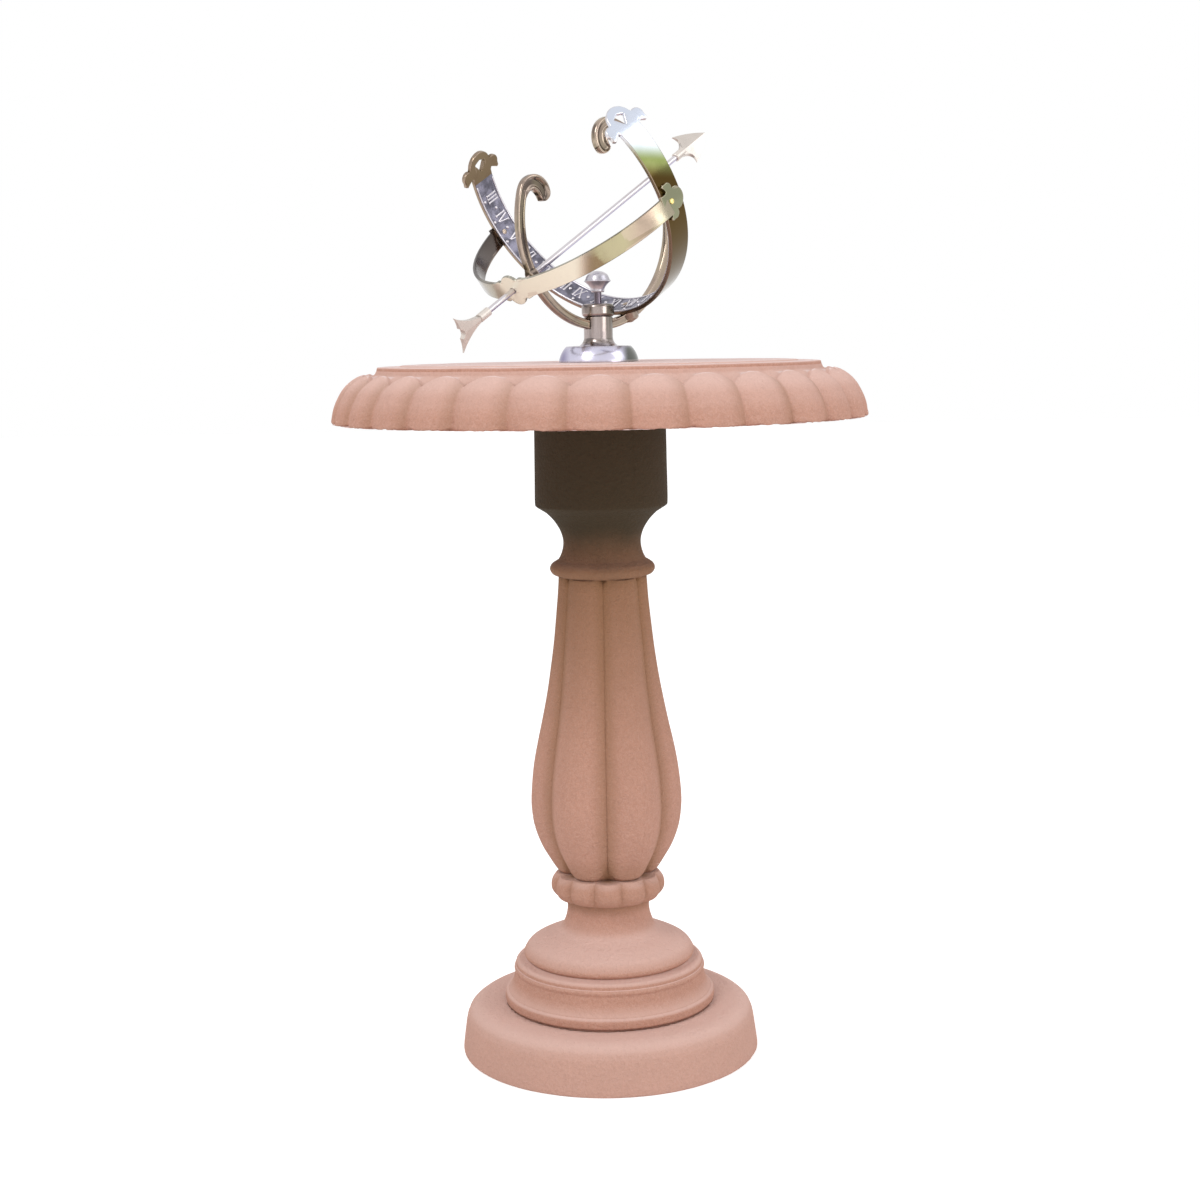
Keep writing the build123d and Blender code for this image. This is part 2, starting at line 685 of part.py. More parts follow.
def ridged_blade(outline, half_w, roll):
    """Blade from a flat outline, thickest along the rod and thin at its edges."""
    flat = extrude(make_face(outline), BLADE_T, both=True)
    spread = 1.3 * half_w
    roof = Polyline((-spread, 0), (0, BLADE_T), (spread, 0), (0, -BLADE_T), close=True)
    ridge = Plane.YZ.offset(-2 * TAIL_END) * extrude(make_face(roof), 4 * TAIL_END)
    return Rot(90 - roll, 0, 0) * (flat & ridge)


def socket(start, end, bored_to):
    """Turned socket for one end of the rod."""
    length = abs(end - start)
    barrel = Pos((start + end) / 2, 0, 0) * Rot(0, 90, 0) * Cylinder(SOCKET_R, length)
    barrel = chamfer(barrel.edges(), 0.6)
    depth = abs(bored_to - start) + 0.3
    middle = start + (bored_to - start) / abs(bored_to - start) * depth / 2
    return barrel, Pos(middle, 0, 0) * Rot(0, 90, 0) * Cylinder(ROD_R + ROD_GAP, depth)


def arrow_head():
    """Barbed head with a socket."""
    back = SOCKET_START + 10
    half = ARROW_HALF_W
    tip = (ARROW_TIP, 0)
    outline = [Line((back, -0.22 * half), (back, 0.22 * half))]
    for side in (1, -1):
        barb = (ARROW_BARB, side * half)
        outline.append(Spline(tip, (ARROW_TIP - 17, side * 0.62 * half), barb))
        outline.append(Spline(barb, (ARROW_BARB + 2, side * 0.55 * half), (back, side * 0.22 * half)))
    barrel, bore = socket(SOCKET_START, back + 4, ROD_HEAD_LEN)
    return ridged_blade(outline, ARROW_HALF_W, ARROW_ROLL) + barrel - bore


def arrow_tail():
    """Spreading tail with a waved end and a socket."""
    neck = -TAIL_SOCKET_START - 12
    half = TAIL_HALF_W
    end = -TAIL_END
    root = 0.13 * half
    waist = neck + 0.42 * (end - neck)
    outline = [Line((neck, -root), (neck, root))]
    for side in (1, -1):
        corner = (end, side * half)
        dip = (end + 3, side * 0.28 * half)
        outline.append(ThreePointArc((neck, side * root), (waist, side * 0.32 * half), corner))
        outline.append(ThreePointArc(corner, (end + 2.4, side * 0.63 * half), dip))
        outline.append(ThreePointArc(dip, (end + 6, side * 0.14 * half), (end + 6.5, 0)))
    barrel, bore = socket(-TAIL_SOCKET_START, neck - 1.5, -ROD_TAIL_LEN)
    return ridged_blade(outline, half, TAIL_ROLL) + barrel - bore


def pieces():
    """Every piece by name, in the part's frame."""
    drum_top = BALUSTER_Z + BALUSTER_H
    return {
        "plinth": plinth(),
        "plinth_mortar": mortar_bed(FOOT_R, DOWEL_R + DOWEL_GAP, PLINTH_H),
        "base_dowel": dowel(PLINTH_H),
        "baluster": baluster(),
        "table_mortar": mortar_bed(DRUM_R, POCKET_R, drum_top),
        "table_top": table_top(),
        "dial_stud": dial_stud(),
        "stud_washer": stud_washer(),
        "stud_nut": stud_nut(),
        "dial_foot": dial_foot(),
        "clamp_cap": clamp_cap(),
        "pressure_pad": pressure_pad(),
        "clamp_screw": clamp_screw(),
        "clamp_knob": clamp_knob(),
        "meridian_ring": DIAL * meridian_ring(),
        "hour_band": DIAL * hour_band(),
        "crossing_rivet": DIAL * crossing_rivet(),
        "brace_hoop": DIAL * brace_hoop(),
        "hoop_rivets": DIAL * hoop_rivets(),
        "gnomon_rod": DIAL * gnomon_rod(),
        "gnomon_set_screw": DIAL * gnomon_set_screw(),
        "arrow_head": DIAL * arrow_head(),
        "arrow_tail": DIAL * arrow_tail(),
    }


os.makedirs("parts", exist_ok=True)
for name, shape in pieces().items():
    export_step(shape, f"parts/{name}.step")
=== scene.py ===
"""Looks of a garden sundial: cast stone pedestal, bronze armillary dial, studio stage and camera.

Sizes are in millimetres and turned into metres where a mesh is made. The pedestal's pieces are
turned about Z. The dial's pieces are made in the dial's own frame: its origin is the centre of
the meridian ring, X runs along the gnomon towards the arrow head, Y lies in the ring's plane and
points up, and Z is the level axis that the ring tilts about.
"""

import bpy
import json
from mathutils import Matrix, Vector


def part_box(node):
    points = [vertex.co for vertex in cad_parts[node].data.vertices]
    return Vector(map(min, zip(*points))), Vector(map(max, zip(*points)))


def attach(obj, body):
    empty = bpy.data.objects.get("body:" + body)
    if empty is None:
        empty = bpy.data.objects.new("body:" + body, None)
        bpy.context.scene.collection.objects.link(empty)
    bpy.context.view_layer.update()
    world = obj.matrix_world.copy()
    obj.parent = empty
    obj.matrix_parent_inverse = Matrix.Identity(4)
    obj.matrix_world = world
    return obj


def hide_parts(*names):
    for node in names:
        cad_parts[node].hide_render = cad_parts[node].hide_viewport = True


bl_info = {
    "name": "Garden sundial looks",
    "version": (1, 0, 0),
    "blender": (4, 5, 0),
    "location": "3D View > Sidebar > Sundial",
    "description": "Dresses the packed sundial in cast stone and bronze, with its light and camera",
    "category": "Object",
}

import json
from math import acos, asin, atan2, cos, degrees, pi, radians, sin, sqrt

import bmesh
import bpy
from mathutils import Matrix, Vector, noise

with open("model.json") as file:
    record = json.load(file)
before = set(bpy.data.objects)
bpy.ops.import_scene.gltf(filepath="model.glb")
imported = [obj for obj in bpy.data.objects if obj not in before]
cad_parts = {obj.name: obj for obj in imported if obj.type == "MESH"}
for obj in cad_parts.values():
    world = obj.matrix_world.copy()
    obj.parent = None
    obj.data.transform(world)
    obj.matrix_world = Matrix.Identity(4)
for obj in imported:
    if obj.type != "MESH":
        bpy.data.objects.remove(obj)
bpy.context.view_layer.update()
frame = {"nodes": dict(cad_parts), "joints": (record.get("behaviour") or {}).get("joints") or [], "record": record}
MM = 0.001


# ---- sizes and colours that a user would change ----
class StoneSizes(bpy.types.PropertyGroup):
    body_lobes: bpy.props.IntProperty(
        name="Body lobes", description="Lobes round the baluster's body", default=6
    )
    body_groove: bpy.props.FloatProperty(
        name="Body grooves",
        description="Depth of the body's grooves as a share of its radius",
        default=0.16,
    )
    collar_lobes: bpy.props.IntProperty(
        name="Collar lobes", description="Scallops round the collar", default=12
    )
    rim_lobes: bpy.props.IntProperty(
        name="Rim lobes", description="Gadroons round the table's rim", default=30
    )
    rim_groove: bpy.props.FloatProperty(
        name="Rim grooves", description="Depth between the rim's gadroons, mm", default=6.0
    )
    seam: bpy.props.FloatProperty(
        name="Mould seam", description="Height of the mould's seam, mm", default=0.4
    )
    seam_bearing: bpy.props.FloatProperty(
        name="Seam bearing",
        description="Where the seam runs, from the front",
        default=radians(30), subtype="ANGLE",
    )


class DialSizes(bpy.types.PropertyGroup):
    slope: bpy.props.FloatProperty(
        name="Slope", description="Slope of the gnomon", default=radians(31.2), subtype="ANGLE"
    )
    ring_radius: bpy.props.FloatProperty(
        name="Ring radius", description="Outer radius of the ring, mm", default=102.5
    )
    hour_step: bpy.props.FloatProperty(
        name="Hour step",
        description="Turn of the band from one hour to the next",
        default=radians(10.8), subtype="ANGLE",
    )
    relief: bpy.props.FloatProperty(
        name="Relief", description="Height of the raised numerals, mm", default=0.8
    )


class Finishes(bpy.types.PropertyGroup):
    stone: bpy.props.FloatVectorProperty(
        name="Stone",
        description="Cast stone's colour",
        default=(0.57, 0.295, 0.215), size=3, subtype="COLOR",
    )
    # Pale colour of specks and of the plinth, and of bleaching with painted light from above on faces turned up.
    stone_pale: bpy.props.FloatVectorProperty(
        name="Pale stone",
        description="Colour of faces bleached by sun",
        default=(0.80, 0.55, 0.485), size=3, subtype="COLOR",
    )
    # Painted shade: the dark colour close under the table and in the stone's hollows.
    stone_shade_dark: bpy.props.FloatVectorProperty(
        name="Damp stone",
        description="Colour under the table and in the grooves",
        default=(0.046, 0.033, 0.017), size=3, subtype="COLOR",
    )
    # Painted shade: the brown colour lower under the table and in the pedestal's grooves, scallops and dips.
    stone_shade_brown: bpy.props.FloatVectorProperty(
        name="Stained stone",
        description="Brown stain below the damp and in the grooves",
        default=(0.285, 0.143, 0.066), size=3, subtype="COLOR",
    )
    # Painted light from above on the table's flat top.
    stone_top_lit: bpy.props.FloatVectorProperty(
        name="Dusty stone",
        description="Colour of the table's flat top",
        default=(0.87, 0.68, 0.65), size=3, subtype="COLOR",
    )
    bronze: bpy.props.FloatVectorProperty(
        name="Bronze",
        description="Polished bronze",
        default=(0.42, 0.33, 0.27), size=3, subtype="COLOR",
    )
    bronze_gold: bpy.props.FloatVectorProperty(
        name="Golden bronze",
        description="Rubbed, golden bronze",
        default=(0.40, 0.36, 0.21), size=3, subtype="COLOR",
    )
    # Dark tone of random clouds, of hollows and of the painted reflection bands.
    bronze_dark: bpy.props.FloatVectorProperty(
        name="Toned bronze",
        description="Brown tone in hollows",
        default=(0.045, 0.034, 0.03), size=3, subtype="COLOR",
    )
    patina: bpy.props.FloatVectorProperty(
        name="Patina",
        description="Blue-grey bloom on the band's inner face",
        default=(0.29, 0.28, 0.36), size=3, subtype="COLOR",
    )
    silver: bpy.props.FloatVectorProperty(
        name="Bright rod",
        description="Gnomon's rod, rubbed bright",
        default=(0.60, 0.57, 0.60), size=3, subtype="COLOR",
    )
    brass: bpy.props.FloatVectorProperty(
        name="Brass",
        description="Rivets and set screw",
        default=(0.85, 0.68, 0.26), size=3, subtype="COLOR",
    )


class StageLook(bpy.types.PropertyGroup):
    floor: bpy.props.FloatVectorProperty(
        name="Floor",
        description="Colour of the floor",
        default=(0.9, 0.9, 0.9), size=3, subtype="COLOR",
    )
    glow: bpy.props.FloatProperty(
        name="Floor glow", description="Lifts the floor to white between shadows", default=0.47
    )
    sky: bpy.props.FloatProperty(
        name="Sky", description="Level of the soft light all round", default=0.76
    )
    key: bpy.props.FloatProperty(
        name="Key light", description="Power of the high light at the left, watts", default=20
    )
    side: bpy.props.FloatProperty(
        name="Side light", description="Power of the light at the right, watts", default=6
    )
    fill: bpy.props.FloatProperty(
        name="Fill light", description="Power of the low light at the right, watts", default=12
    )


# ---- mesh helpers ----
def smooth_run(points, steps):
    """Points along a smooth curve through the given ones, with a number of steps to each span."""
    ends = [points[0]] + list(points) + [points[-1]]
    run = []
    for k in range(1, len(ends) - 2):
        before, start, end, after = (Vector(p) for p in ends[k - 1 : k + 3])
        for n in range(steps):
            t = n / steps
            bend = (2 * before - 5 * start + 4 * end - after) * t * t
            bend += (3 * start - before - 3 * end + after) * t * t * t
            run.append(tuple(0.5 * (2 * start + (end - before) * t + bend)))
    run.append(tuple(points[-1]))
    return run


def ramp(low, high, value):
    """Soft step from 0 at low to 1 at high."""
    t = min(max((value - low) / (high - low), 0), 1)
    return t * t * (3 - 2 * t)


def join_rows(work, rows):
    """Quads between each closed row of vertices and the next."""
    count = len(rows[0])
    for low, high in zip(rows, rows[1:]):
        for k in range(count):
            work.faces.new((low[k], low[(k + 1) % count], high[(k + 1) % count], high[k]))


def add_piece(name, mesh, body, slot, *materials):
    """Object from a finished mesh, riding on a body."""
    piece = bpy.data.objects.new(name, mesh)
    bpy.context.scene.collection.objects.link(piece)
    for material in materials:
        mesh.materials.append(material)
    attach(piece, body)
    return piece


def soften(mesh, sharp_over=35):
    """Smooth shading, with edges sharper than an angle kept crisp."""
    work = bmesh.new()
    work.from_mesh(mesh)
    bmesh.ops.recalc_face_normals(work, faces=work.faces)
    for face in work.faces:
        face.smooth = True
    for edge in work.edges:
        if len(edge.link_faces) == 2:
            edge.smooth = degrees(edge.calc_face_angle(0)) < sharp_over
    work.to_mesh(mesh)
    work.free()


def turned_mesh(name, stations, angles, shape):
    """Closed mesh turned about Z.

    shape(station, angle) gives the radius and height in mm, and how much painted shade the place takes.
    """
    points = []
    painted_shades = []
    for station in stations:
        for angle in angles:
            radius, height, painted_shade = shape(station, angle)
            points.append((MM * radius * cos(angle), MM * radius * sin(angle), MM * height))
            painted_shades.append(painted_shade)
    count = len(angles)
    faces = []
    for row in range(len(stations) - 1):
        for k in range(count):
            across = (k + 1) % count
            low = row * count
            faces.append((low + k, low + across, low + count + across, low + count + k))
    faces.append(tuple(reversed(range(count))))
    faces.append(tuple(range((len(stations) - 1) * count, len(stations) * count)))
    mesh = bpy.data.meshes.new(name)
    mesh.from_pydata(points, [], faces)
    mesh.attributes.new("painted_shade", "FLOAT", "POINT").data.foreach_set("value", painted_shades)
    soften(mesh)
    return mesh


def stone_angles(count, seams=()):
    """Even angles round the pedestal from the front, with three close ones at each seam."""
    angles = [-pi / 2 + 2 * pi * k / count for k in range(count)]
    beside = 0.005
    for seam in seams:
        for side in (-beside, 0, beside):
            angles.append((seam + side + pi / 2) % (2 * pi) - pi / 2)
    return sorted(set(angles))


def lobe_place(angle, lobes, shift=0):
    """Place across a lobe, from -1 at one groove through 0 at the crest to 1 at the next."""
    return 2 * (((angle + pi / 2) * lobes / (2 * pi) + shift) % 1) - 1


def roughness(radius, angle, height, scale, amount):
    """Uneven surface of a casting, in mm."""
    spot = Vector((radius * cos(angle), radius * sin(angle), height)) / scale
    return amount * noise.noise(spot)


# ---- shared effects ----
def socket(group, name, way, kind, default=None):
    """Adds a named input or output to a node group."""
    made = group.interface.new_socket(name=name, in_out=way, socket_type=kind)
    if default is not None:
        made.default_value = default


def node(tree, kind, **values):
    """Adds a node. Values name its settings or, as written on the node, its inputs."""
    made = tree.nodes.new(kind)
    for key, value in values.items():
        if hasattr(made, key):
            setattr(made, key, value)
        else:
            made.inputs[key.replace("_", " ")].default_value = value
    return made


def mottle_group():
    """Broad clouds, fine grain and wider pits, for a colour or a bump."""
    cells_per_grain = 0.22
    group = bpy.data.node_groups.new("Mottle and grain", "ShaderNodeTree")
    socket(group, "Cloud size", "INPUT", "NodeSocketFloat", 20.0)
    socket(group, "Grain size", "INPUT", "NodeSocketFloat", 900.0)
    socket(group, "Clouds", "OUTPUT", "NodeSocketFloat")
    socket(group, "Grain", "OUTPUT", "NodeSocketFloat")
    socket(group, "Pits", "OUTPUT", "NodeSocketFloat")
    start = group.nodes.new("NodeGroupInput")
    end = group.nodes.new("NodeGroupOutput")
    place = group.nodes.new("ShaderNodeTexCoord")
    clouds = node(group, "ShaderNodeTexNoise", Detail=5.0, Roughness=0.6)
    grain = node(group, "ShaderNodeTexNoise", Detail=3.0, Roughness=0.7)
    cells = node(group, "ShaderNodeTexVoronoi", feature="F1")
    wide = node(group, "ShaderNodeMath", operation="MULTIPLY")
    wide.inputs[1].default_value = cells_per_grain
    pits = node(group, "ShaderNodeMapRange", From_Min=0.05, From_Max=0.22, To_Min=1.0, To_Max=0.0)
    links = group.links
    for texture in (clouds, grain, cells):
        links.new(place.outputs["Object"], texture.inputs["Vector"])
    links.new(start.outputs["Cloud size"], clouds.inputs["Scale"])
    links.new(start.outputs["Grain size"], grain.inputs["Scale"])
    links.new(start.outputs["Grain size"], wide.inputs[0])
    links.new(wide.outputs[0], cells.inputs["Scale"])
    links.new(cells.outputs["Distance"], pits.inputs["Value"])
    links.new(clouds.outputs["Fac"], end.inputs["Clouds"])
    links.new(grain.outputs["Fac"], end.inputs["Grain"])
    links.new(pits.outputs["Result"], end.inputs["Pits"])


def curvature_group():
    """Rubbed edges and toned hollows on metal, and painted shade in the stone's hollows, from how the surface
    bends.
    """
    flat = 0.5
    group = bpy.data.node_groups.new("Edge wear", "ShaderNodeTree")
    socket(group, "Spread", "INPUT", "NodeSocketFloat", 0.06)
    socket(group, "Edges", "OUTPUT", "NodeSocketFloat")
    socket(group, "Hollows", "OUTPUT", "NodeSocketFloat")
    start = group.nodes.new("NodeGroupInput")
    end = group.nodes.new("NodeGroupOutput")
    bend = group.nodes.new("ShaderNodeNewGeometry")
    high = node(group, "ShaderNodeMath", operation="ADD")
    high.inputs[1].default_value = flat
    low = node(group, "ShaderNodeMath", operation="SUBTRACT")
    low.inputs[0].default_value = flat
    edges = node(group, "ShaderNodeMapRange", From_Min=flat)
    hollows = node(group, "ShaderNodeMapRange", From_Min=flat)
    links = group.links
    links.new(start.outputs["Spread"], high.inputs[0])
    links.new(start.outputs["Spread"], low.inputs[1])
    links.new(bend.outputs["Pointiness"], edges.inputs["Value"])
    links.new(bend.outputs["Pointiness"], hollows.inputs["Value"])
    links.new(high.outputs[0], edges.inputs["From Max"])
    links.new(low.outputs[0], hollows.inputs["From Max"])
    links.new(edges.outputs["Result"], end.inputs["Edges"])
    links.new(hollows.outputs["Result"], end.inputs["Hollows"])


def reflection_bands_group():
    """Painted reflections: soft light and dark bands that follow the way a surface faces."""
    group = bpy.data.node_groups.new("Bands by facing", "ShaderNodeTree")
    socket(group, "Scale", "INPUT", "NodeSocketFloat", 1.5)
    socket(group, "Drift", "INPUT", "NodeSocketFloat", 6.0)
    socket(group, "Bands", "OUTPUT", "NodeSocketFloat")
    start = group.nodes.new("NodeGroupInput")
    end = group.nodes.new("NodeGroupOutput")
    place = group.nodes.new("ShaderNodeTexCoord")
    drift = node(group, "ShaderNodeVectorMath", operation="SCALE")
    both = node(group, "ShaderNodeVectorMath", operation="ADD")
    bands = node(group, "ShaderNodeTexNoise", Detail=1.5, Roughness=0.5)
    links = group.links
    links.new(place.outputs["Object"], drift.inputs[0])
    links.new(start.outputs["Drift"], drift.inputs["Scale"])
    links.new(place.outputs["Normal"], both.inputs[0])
    links.new(drift.outputs[0], both.inputs[1])
    links.new(both.outputs[0], bands.inputs["Vector"])
    links.new(start.outputs["Scale"], bands.inputs["Scale"])
    links.new(bands.outputs["Fac"], end.inputs["Bands"])


def effect(tree, group, **values):
    """Places a shared effect in a material with its own values."""
    made = tree.nodes.new("ShaderNodeGroup")
    made.node_tree = bpy.data.node_groups[group]
    for key, value in values.items():
        made.inputs[key.replace("_", " ")].default_value = value
    return made


# places of a colour mix node's sockets
MIX_SHARE, MIX_UNDER, MIX_OVER, MIX_RESULT = 0, 6, 7, 2


def blend_colour(tree, share, under, over):
    """Mix of two colours by a share. Each of the three is a socket or a plain value."""
    mix = node(tree, "ShaderNodeMix", data_type="RGBA")
    for spot, value in ((MIX_SHARE, share), (MIX_UNDER, under), (MIX_OVER, over)):
        if isinstance(value, bpy.types.NodeSocket):
            tree.links.new(value, mix.inputs[spot])
        else:
            mix.inputs[spot].default_value = value if spot == MIX_SHARE else (*value, 1)
    return mix.outputs[MIX_RESULT]


def scaled(colour, share):
    """Colour with its strength multiplied, and no part over 1."""
    return tuple(min(1, share * part) for part in colour)


def mapped(tree, value, low, high, to_low=0.0, to_high=1.0):
    """Value carried from one range to another, held at its ends."""
    made = tree.nodes.new("ShaderNodeMapRange")
    made.interpolation_type = "SMOOTHSTEP"
    tree.links.new(value, made.inputs["Value"])
    ends = {"From Min": low, "From Max": high, "To Min": to_low, "To Max": to_high}
    for key, number in ends.items():
        made.inputs[key].default_value = number
    return made.outputs["Result"]


def sum_of(tree, first, second, share):
    """First plus a share of second."""
    made = node(tree, "ShaderNodeMath", operation="MULTIPLY_ADD")
    tree.links.new(second, made.inputs[0])
    made.inputs[1].default_value = share
    tree.links.new(first, made.inputs[2])
    return made.outputs[0]


def product_of(tree, first, second):
    """First times second."""
    made = node(tree, "ShaderNodeMath", operation="MULTIPLY")
    tree.links.new(first, made.inputs[0])
    tree.links.new(second, made.inputs[1])
    return made.outputs[0]


def split_of(tree, kind, output):
    """X, Y and Z of a place or direction that a kind of node gives."""
    source = tree.nodes.new(kind)
    split = tree.nodes.new("ShaderNodeSeparateXYZ")
    tree.links.new(source.outputs[output], split.inputs[0])
    return split.outputs


def zone_share(tree, *limits):
    """Soft mask over part of a piece.

    Each limit is an axis, where it starts and is full, in metres at rest, and how full.
    """
    place = split_of(tree, "ShaderNodeTexCoord", "Object")
    share = None
    for axis, start, full, top in limits:
        part = mapped(tree, place[axis], start, full, 0.0, top)
        share = part if share is None else product_of(tree, share, part)
    return share


def new_material(name):
    """Material with its shader, and the shader's tree."""
    material = bpy.data.materials.new(name)
    material.use_nodes = True
    return material, material.node_tree, material.node_tree.nodes["Principled BSDF"]


def bump(tree, shader, height, strength, distance):
    """Feeds a height to the shader as a bump."""
    made = node(tree, "ShaderNodeBump", Strength=strength, Distance=distance)
    tree.links.new(height, made.inputs["Height"])
    tree.links.new(made.outputs["Normal"], shader.inputs["Normal"])


# ---- materials ----
FINISHES = {}


class PaintedShadeReach:
    """How far the painted shade under the table reaches below its underside, in metres."""

    brown_start = 0.38
    brown_full = 0.13
    dark_shade_start = 0.157
    dark_shade_full = 0.09
    table_start = 0.0015
    table_full = 0.0005
    wander = 0.02


def stone_with_painted_shade(tree, colour, clouds):
    """Stone's colour with painted shade under the table: brown lower down, dark close to its underside."""
    colours = bpy.context.scene.sundial_finish
    reach = PaintedShadeReach
    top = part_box("table_top")[0].z
    place = split_of(tree, "ShaderNodeTexCoord", "Object")
    level = sum_of(tree, place["Z"], clouds, reach.wander)
    below = mapped(tree, place["Z"], top - reach.table_start, top - reach.table_full, 1.0, 0.0)
    # Painted shade under the table: brown lower down, then dark near its underside.
    brown = mapped(tree, level, top - reach.brown_start, top - reach.brown_full, 0.06, 0.78)
    colour = blend_colour(tree, product_of(tree, brown, below), colour, colours.stone_shade_brown)
    dark_shade = mapped(tree, level, top - reach.dark_shade_start, top - reach.dark_shade_full, 0.0, 0.96)
    return blend_colour(tree, product_of(tree, dark_shade, below), colour, colours.stone_shade_dark)


def stone_material(name, hollow_shade_share=0.3, pale_share=0.0, flat_top_light_share=0.0):
    """Cast stone: mottled terracotta pink, paler on faces turned up from bleaching and painted light from above,
    with painted shade under the table, in its grooves and in its hollows.
    """
    colours = bpy.context.scene.sundial_finish
    material, tree, shader = new_material(name)
    mottle = effect(tree, "Mottle and grain", Cloud_size=26.0, Grain_size=760.0)
    coarse = effect(tree, "Mottle and grain", Cloud_size=260.0, Grain_size=400.0)
    facing = split_of(tree, "ShaderNodeNewGeometry", "Normal")
    clouds = mapped(tree, mottle.outputs["Clouds"], 0.3, 0.7, 0.0, 0.22)
    colour = blend_colour(tree, clouds, colours.stone, scaled(colours.stone, 0.78))
    specks = mapped(tree, mottle.outputs["Grain"], 0.35, 0.75, 0.0, 0.3)
    colour = blend_colour(tree, specks, colour, colours.stone_pale)
    sand = mapped(tree, coarse.outputs["Clouds"], 0.35, 0.62, 0.22, 0.0)
    colour = blend_colour(tree, sand, colour, scaled(colours.stone, 0.72))
    # Bleaching and painted light from above: paler on faces turned up.
    lit_and_bleached = mapped(tree, facing["Z"], 0.15, 0.95, 0.0, 0.78)
    colour = blend_colour(tree, lit_and_bleached, colour, colours.stone_pale)
    if pale_share:
        colour = blend_colour(tree, pale_share, colour, colours.stone_pale)
    # Painted light from above on the table's flat top.
    if flat_top_light_share:
        flat_top_lit = mapped(tree, facing["Z"], 0.93, 0.99, 0.0, flat_top_light_share)
        colour = blend_colour(tree, flat_top_lit, colour, colours.stone_top_lit)
    colour = stone_with_painted_shade(tree, colour, mottle.outputs["Clouds"])
    # Painted shade kept on the mesh: in grooves and scallops, below the collar and on the gadroons' flanks.
    painted_shade = node(tree, "ShaderNodeAttribute", attribute_name="painted_shade")
    colour = blend_colour(tree, painted_shade.outputs["Fac"], colour, colours.stone_shade_brown)
    curvature = effect(tree, "Edge wear", Spread=0.10)
    # Painted shade in the stone's hollows.
    hollow_shade = mapped(tree, curvature.outputs["Hollows"], 0.1, 1.0, 0.0, hollow_shade_share)
    colour = blend_colour(tree, hollow_shade, colour, colours.stone_shade_dark)
    tree.links.new(colour, shader.inputs["Base Color"])
    shader.inputs["Roughness"].default_value = 0.88
    shader.inputs["Specular IOR Level"].default_value = 0.25
    height = sum_of(tree, mottle.outputs["Grain"], mottle.outputs["Pits"], -0.35)
    height = sum_of(tree, height, coarse.outputs["Clouds"], 4.0)
    bump(tree, shader, height, strength=0.58, distance=0.0014)
    return material


def mortar_material():
    """Rough mortar, darker than the stone."""
    colours = bpy.context.scene.sundial_finish
    material, tree, shader = new_material("rough_mortar")
    mottle = effect(tree, "Mottle and grain", Cloud_size=120.0, Grain_size=1400.0)
    dark, pale = scaled(colours.stone, 0.22), scaled(colours.stone, 0.6)
    colour = blend_colour(tree, mottle.outputs["Clouds"], dark, pale)
    tree.links.new(colour, shader.inputs["Base Color"])
    shader.inputs["Roughness"].default_value = 0.95
    bump(tree, shader, mottle.outputs["Grain"], strength=0.8, distance=0.001)
    return material


def metal_material(
    name, colour, tone, gloss, tone_share=0.5, gold=None, gold_share=0.0,
    reflections=(), dull=(), under=None, worn=0.8,
):
    """Polished cast metal: soft clouds of tone, painted reflections in bands by facing, rubbed edges and toned
    hollows.

    Each zone is a painted reflection: a colour and the part of the piece it covers. Dull is a part with a bloom on
    it, under is a painted shade on faces turned down, and worn is how much of the tone the hollows take.
    """
    material, tree, shader = new_material(name)
    mottle = effect(tree, "Mottle and grain", Cloud_size=42.0, Grain_size=1500.0)
    curvature = effect(tree, "Edge wear", Spread=0.05)
    clouds = mapped(tree, mottle.outputs["Clouds"], 0.42, 0.68, 0.0, 0.5 * tone_share)
    shade = blend_colour(tree, clouds, colour, tone)
    # Painted reflections: light and dark bands that follow the way the surface faces.
    facing = effect(tree, "Bands by facing", Scale=1.7, Drift=7.0)
    bands = mapped(tree, facing.outputs["Bands"], 0.46, 0.62, 0.0, tone_share)
    shade = blend_colour(tree, bands, shade, tone)
    if gold is not None:
        warm = mapped(tree, mottle.outputs["Clouds"], 0.58, 0.36, 0.0, gold_share)
        shade = blend_colour(tree, warm, shade, gold)
    for reflection_colour, *limits in reflections:
        shade = blend_colour(tree, zone_share(tree, *limits), shade, reflection_colour)
    # Painted shade: a dark colour on faces turned down.
    if under is not None:
        down = split_of(tree, "ShaderNodeTexCoord", "Normal")["Z"]
        shade = blend_colour(tree, mapped(tree, down, -0.1, -0.4, 0.0, 0.95), shade, under)
    hollows = mapped(tree, curvature.outputs["Hollows"], 0.1, 1.0, 0.0, worn)
    shade = blend_colour(tree, hollows, shade, tone)
    rubbed = mapped(tree, curvature.outputs["Edges"], 0.2, 1.0, 0.0, 0.4)
    shade = blend_colour(tree, rubbed, shade, scaled(colour, 1.35))
    tree.links.new(shade, shader.inputs["Base Color"])
    shader.inputs["Metallic"].default_value = 1.0
    if dull:
        bloom = mapped(tree, zone_share(tree, *dull), 0.0, 1.0, 1.0, 0.25)
        tree.links.new(bloom, shader.inputs["Metallic"])
    rough = mapped(tree, mottle.outputs["Clouds"], 0.35, 0.7, gloss, gloss + 0.12)
    tree.links.new(rough, shader.inputs["Roughness"])
    height = sum_of(tree, mottle.outputs["Clouds"], mottle.outputs["Grain"], 0.05)
    bump(tree, shader, height, strength=0.10, distance=0.0012)
    return material


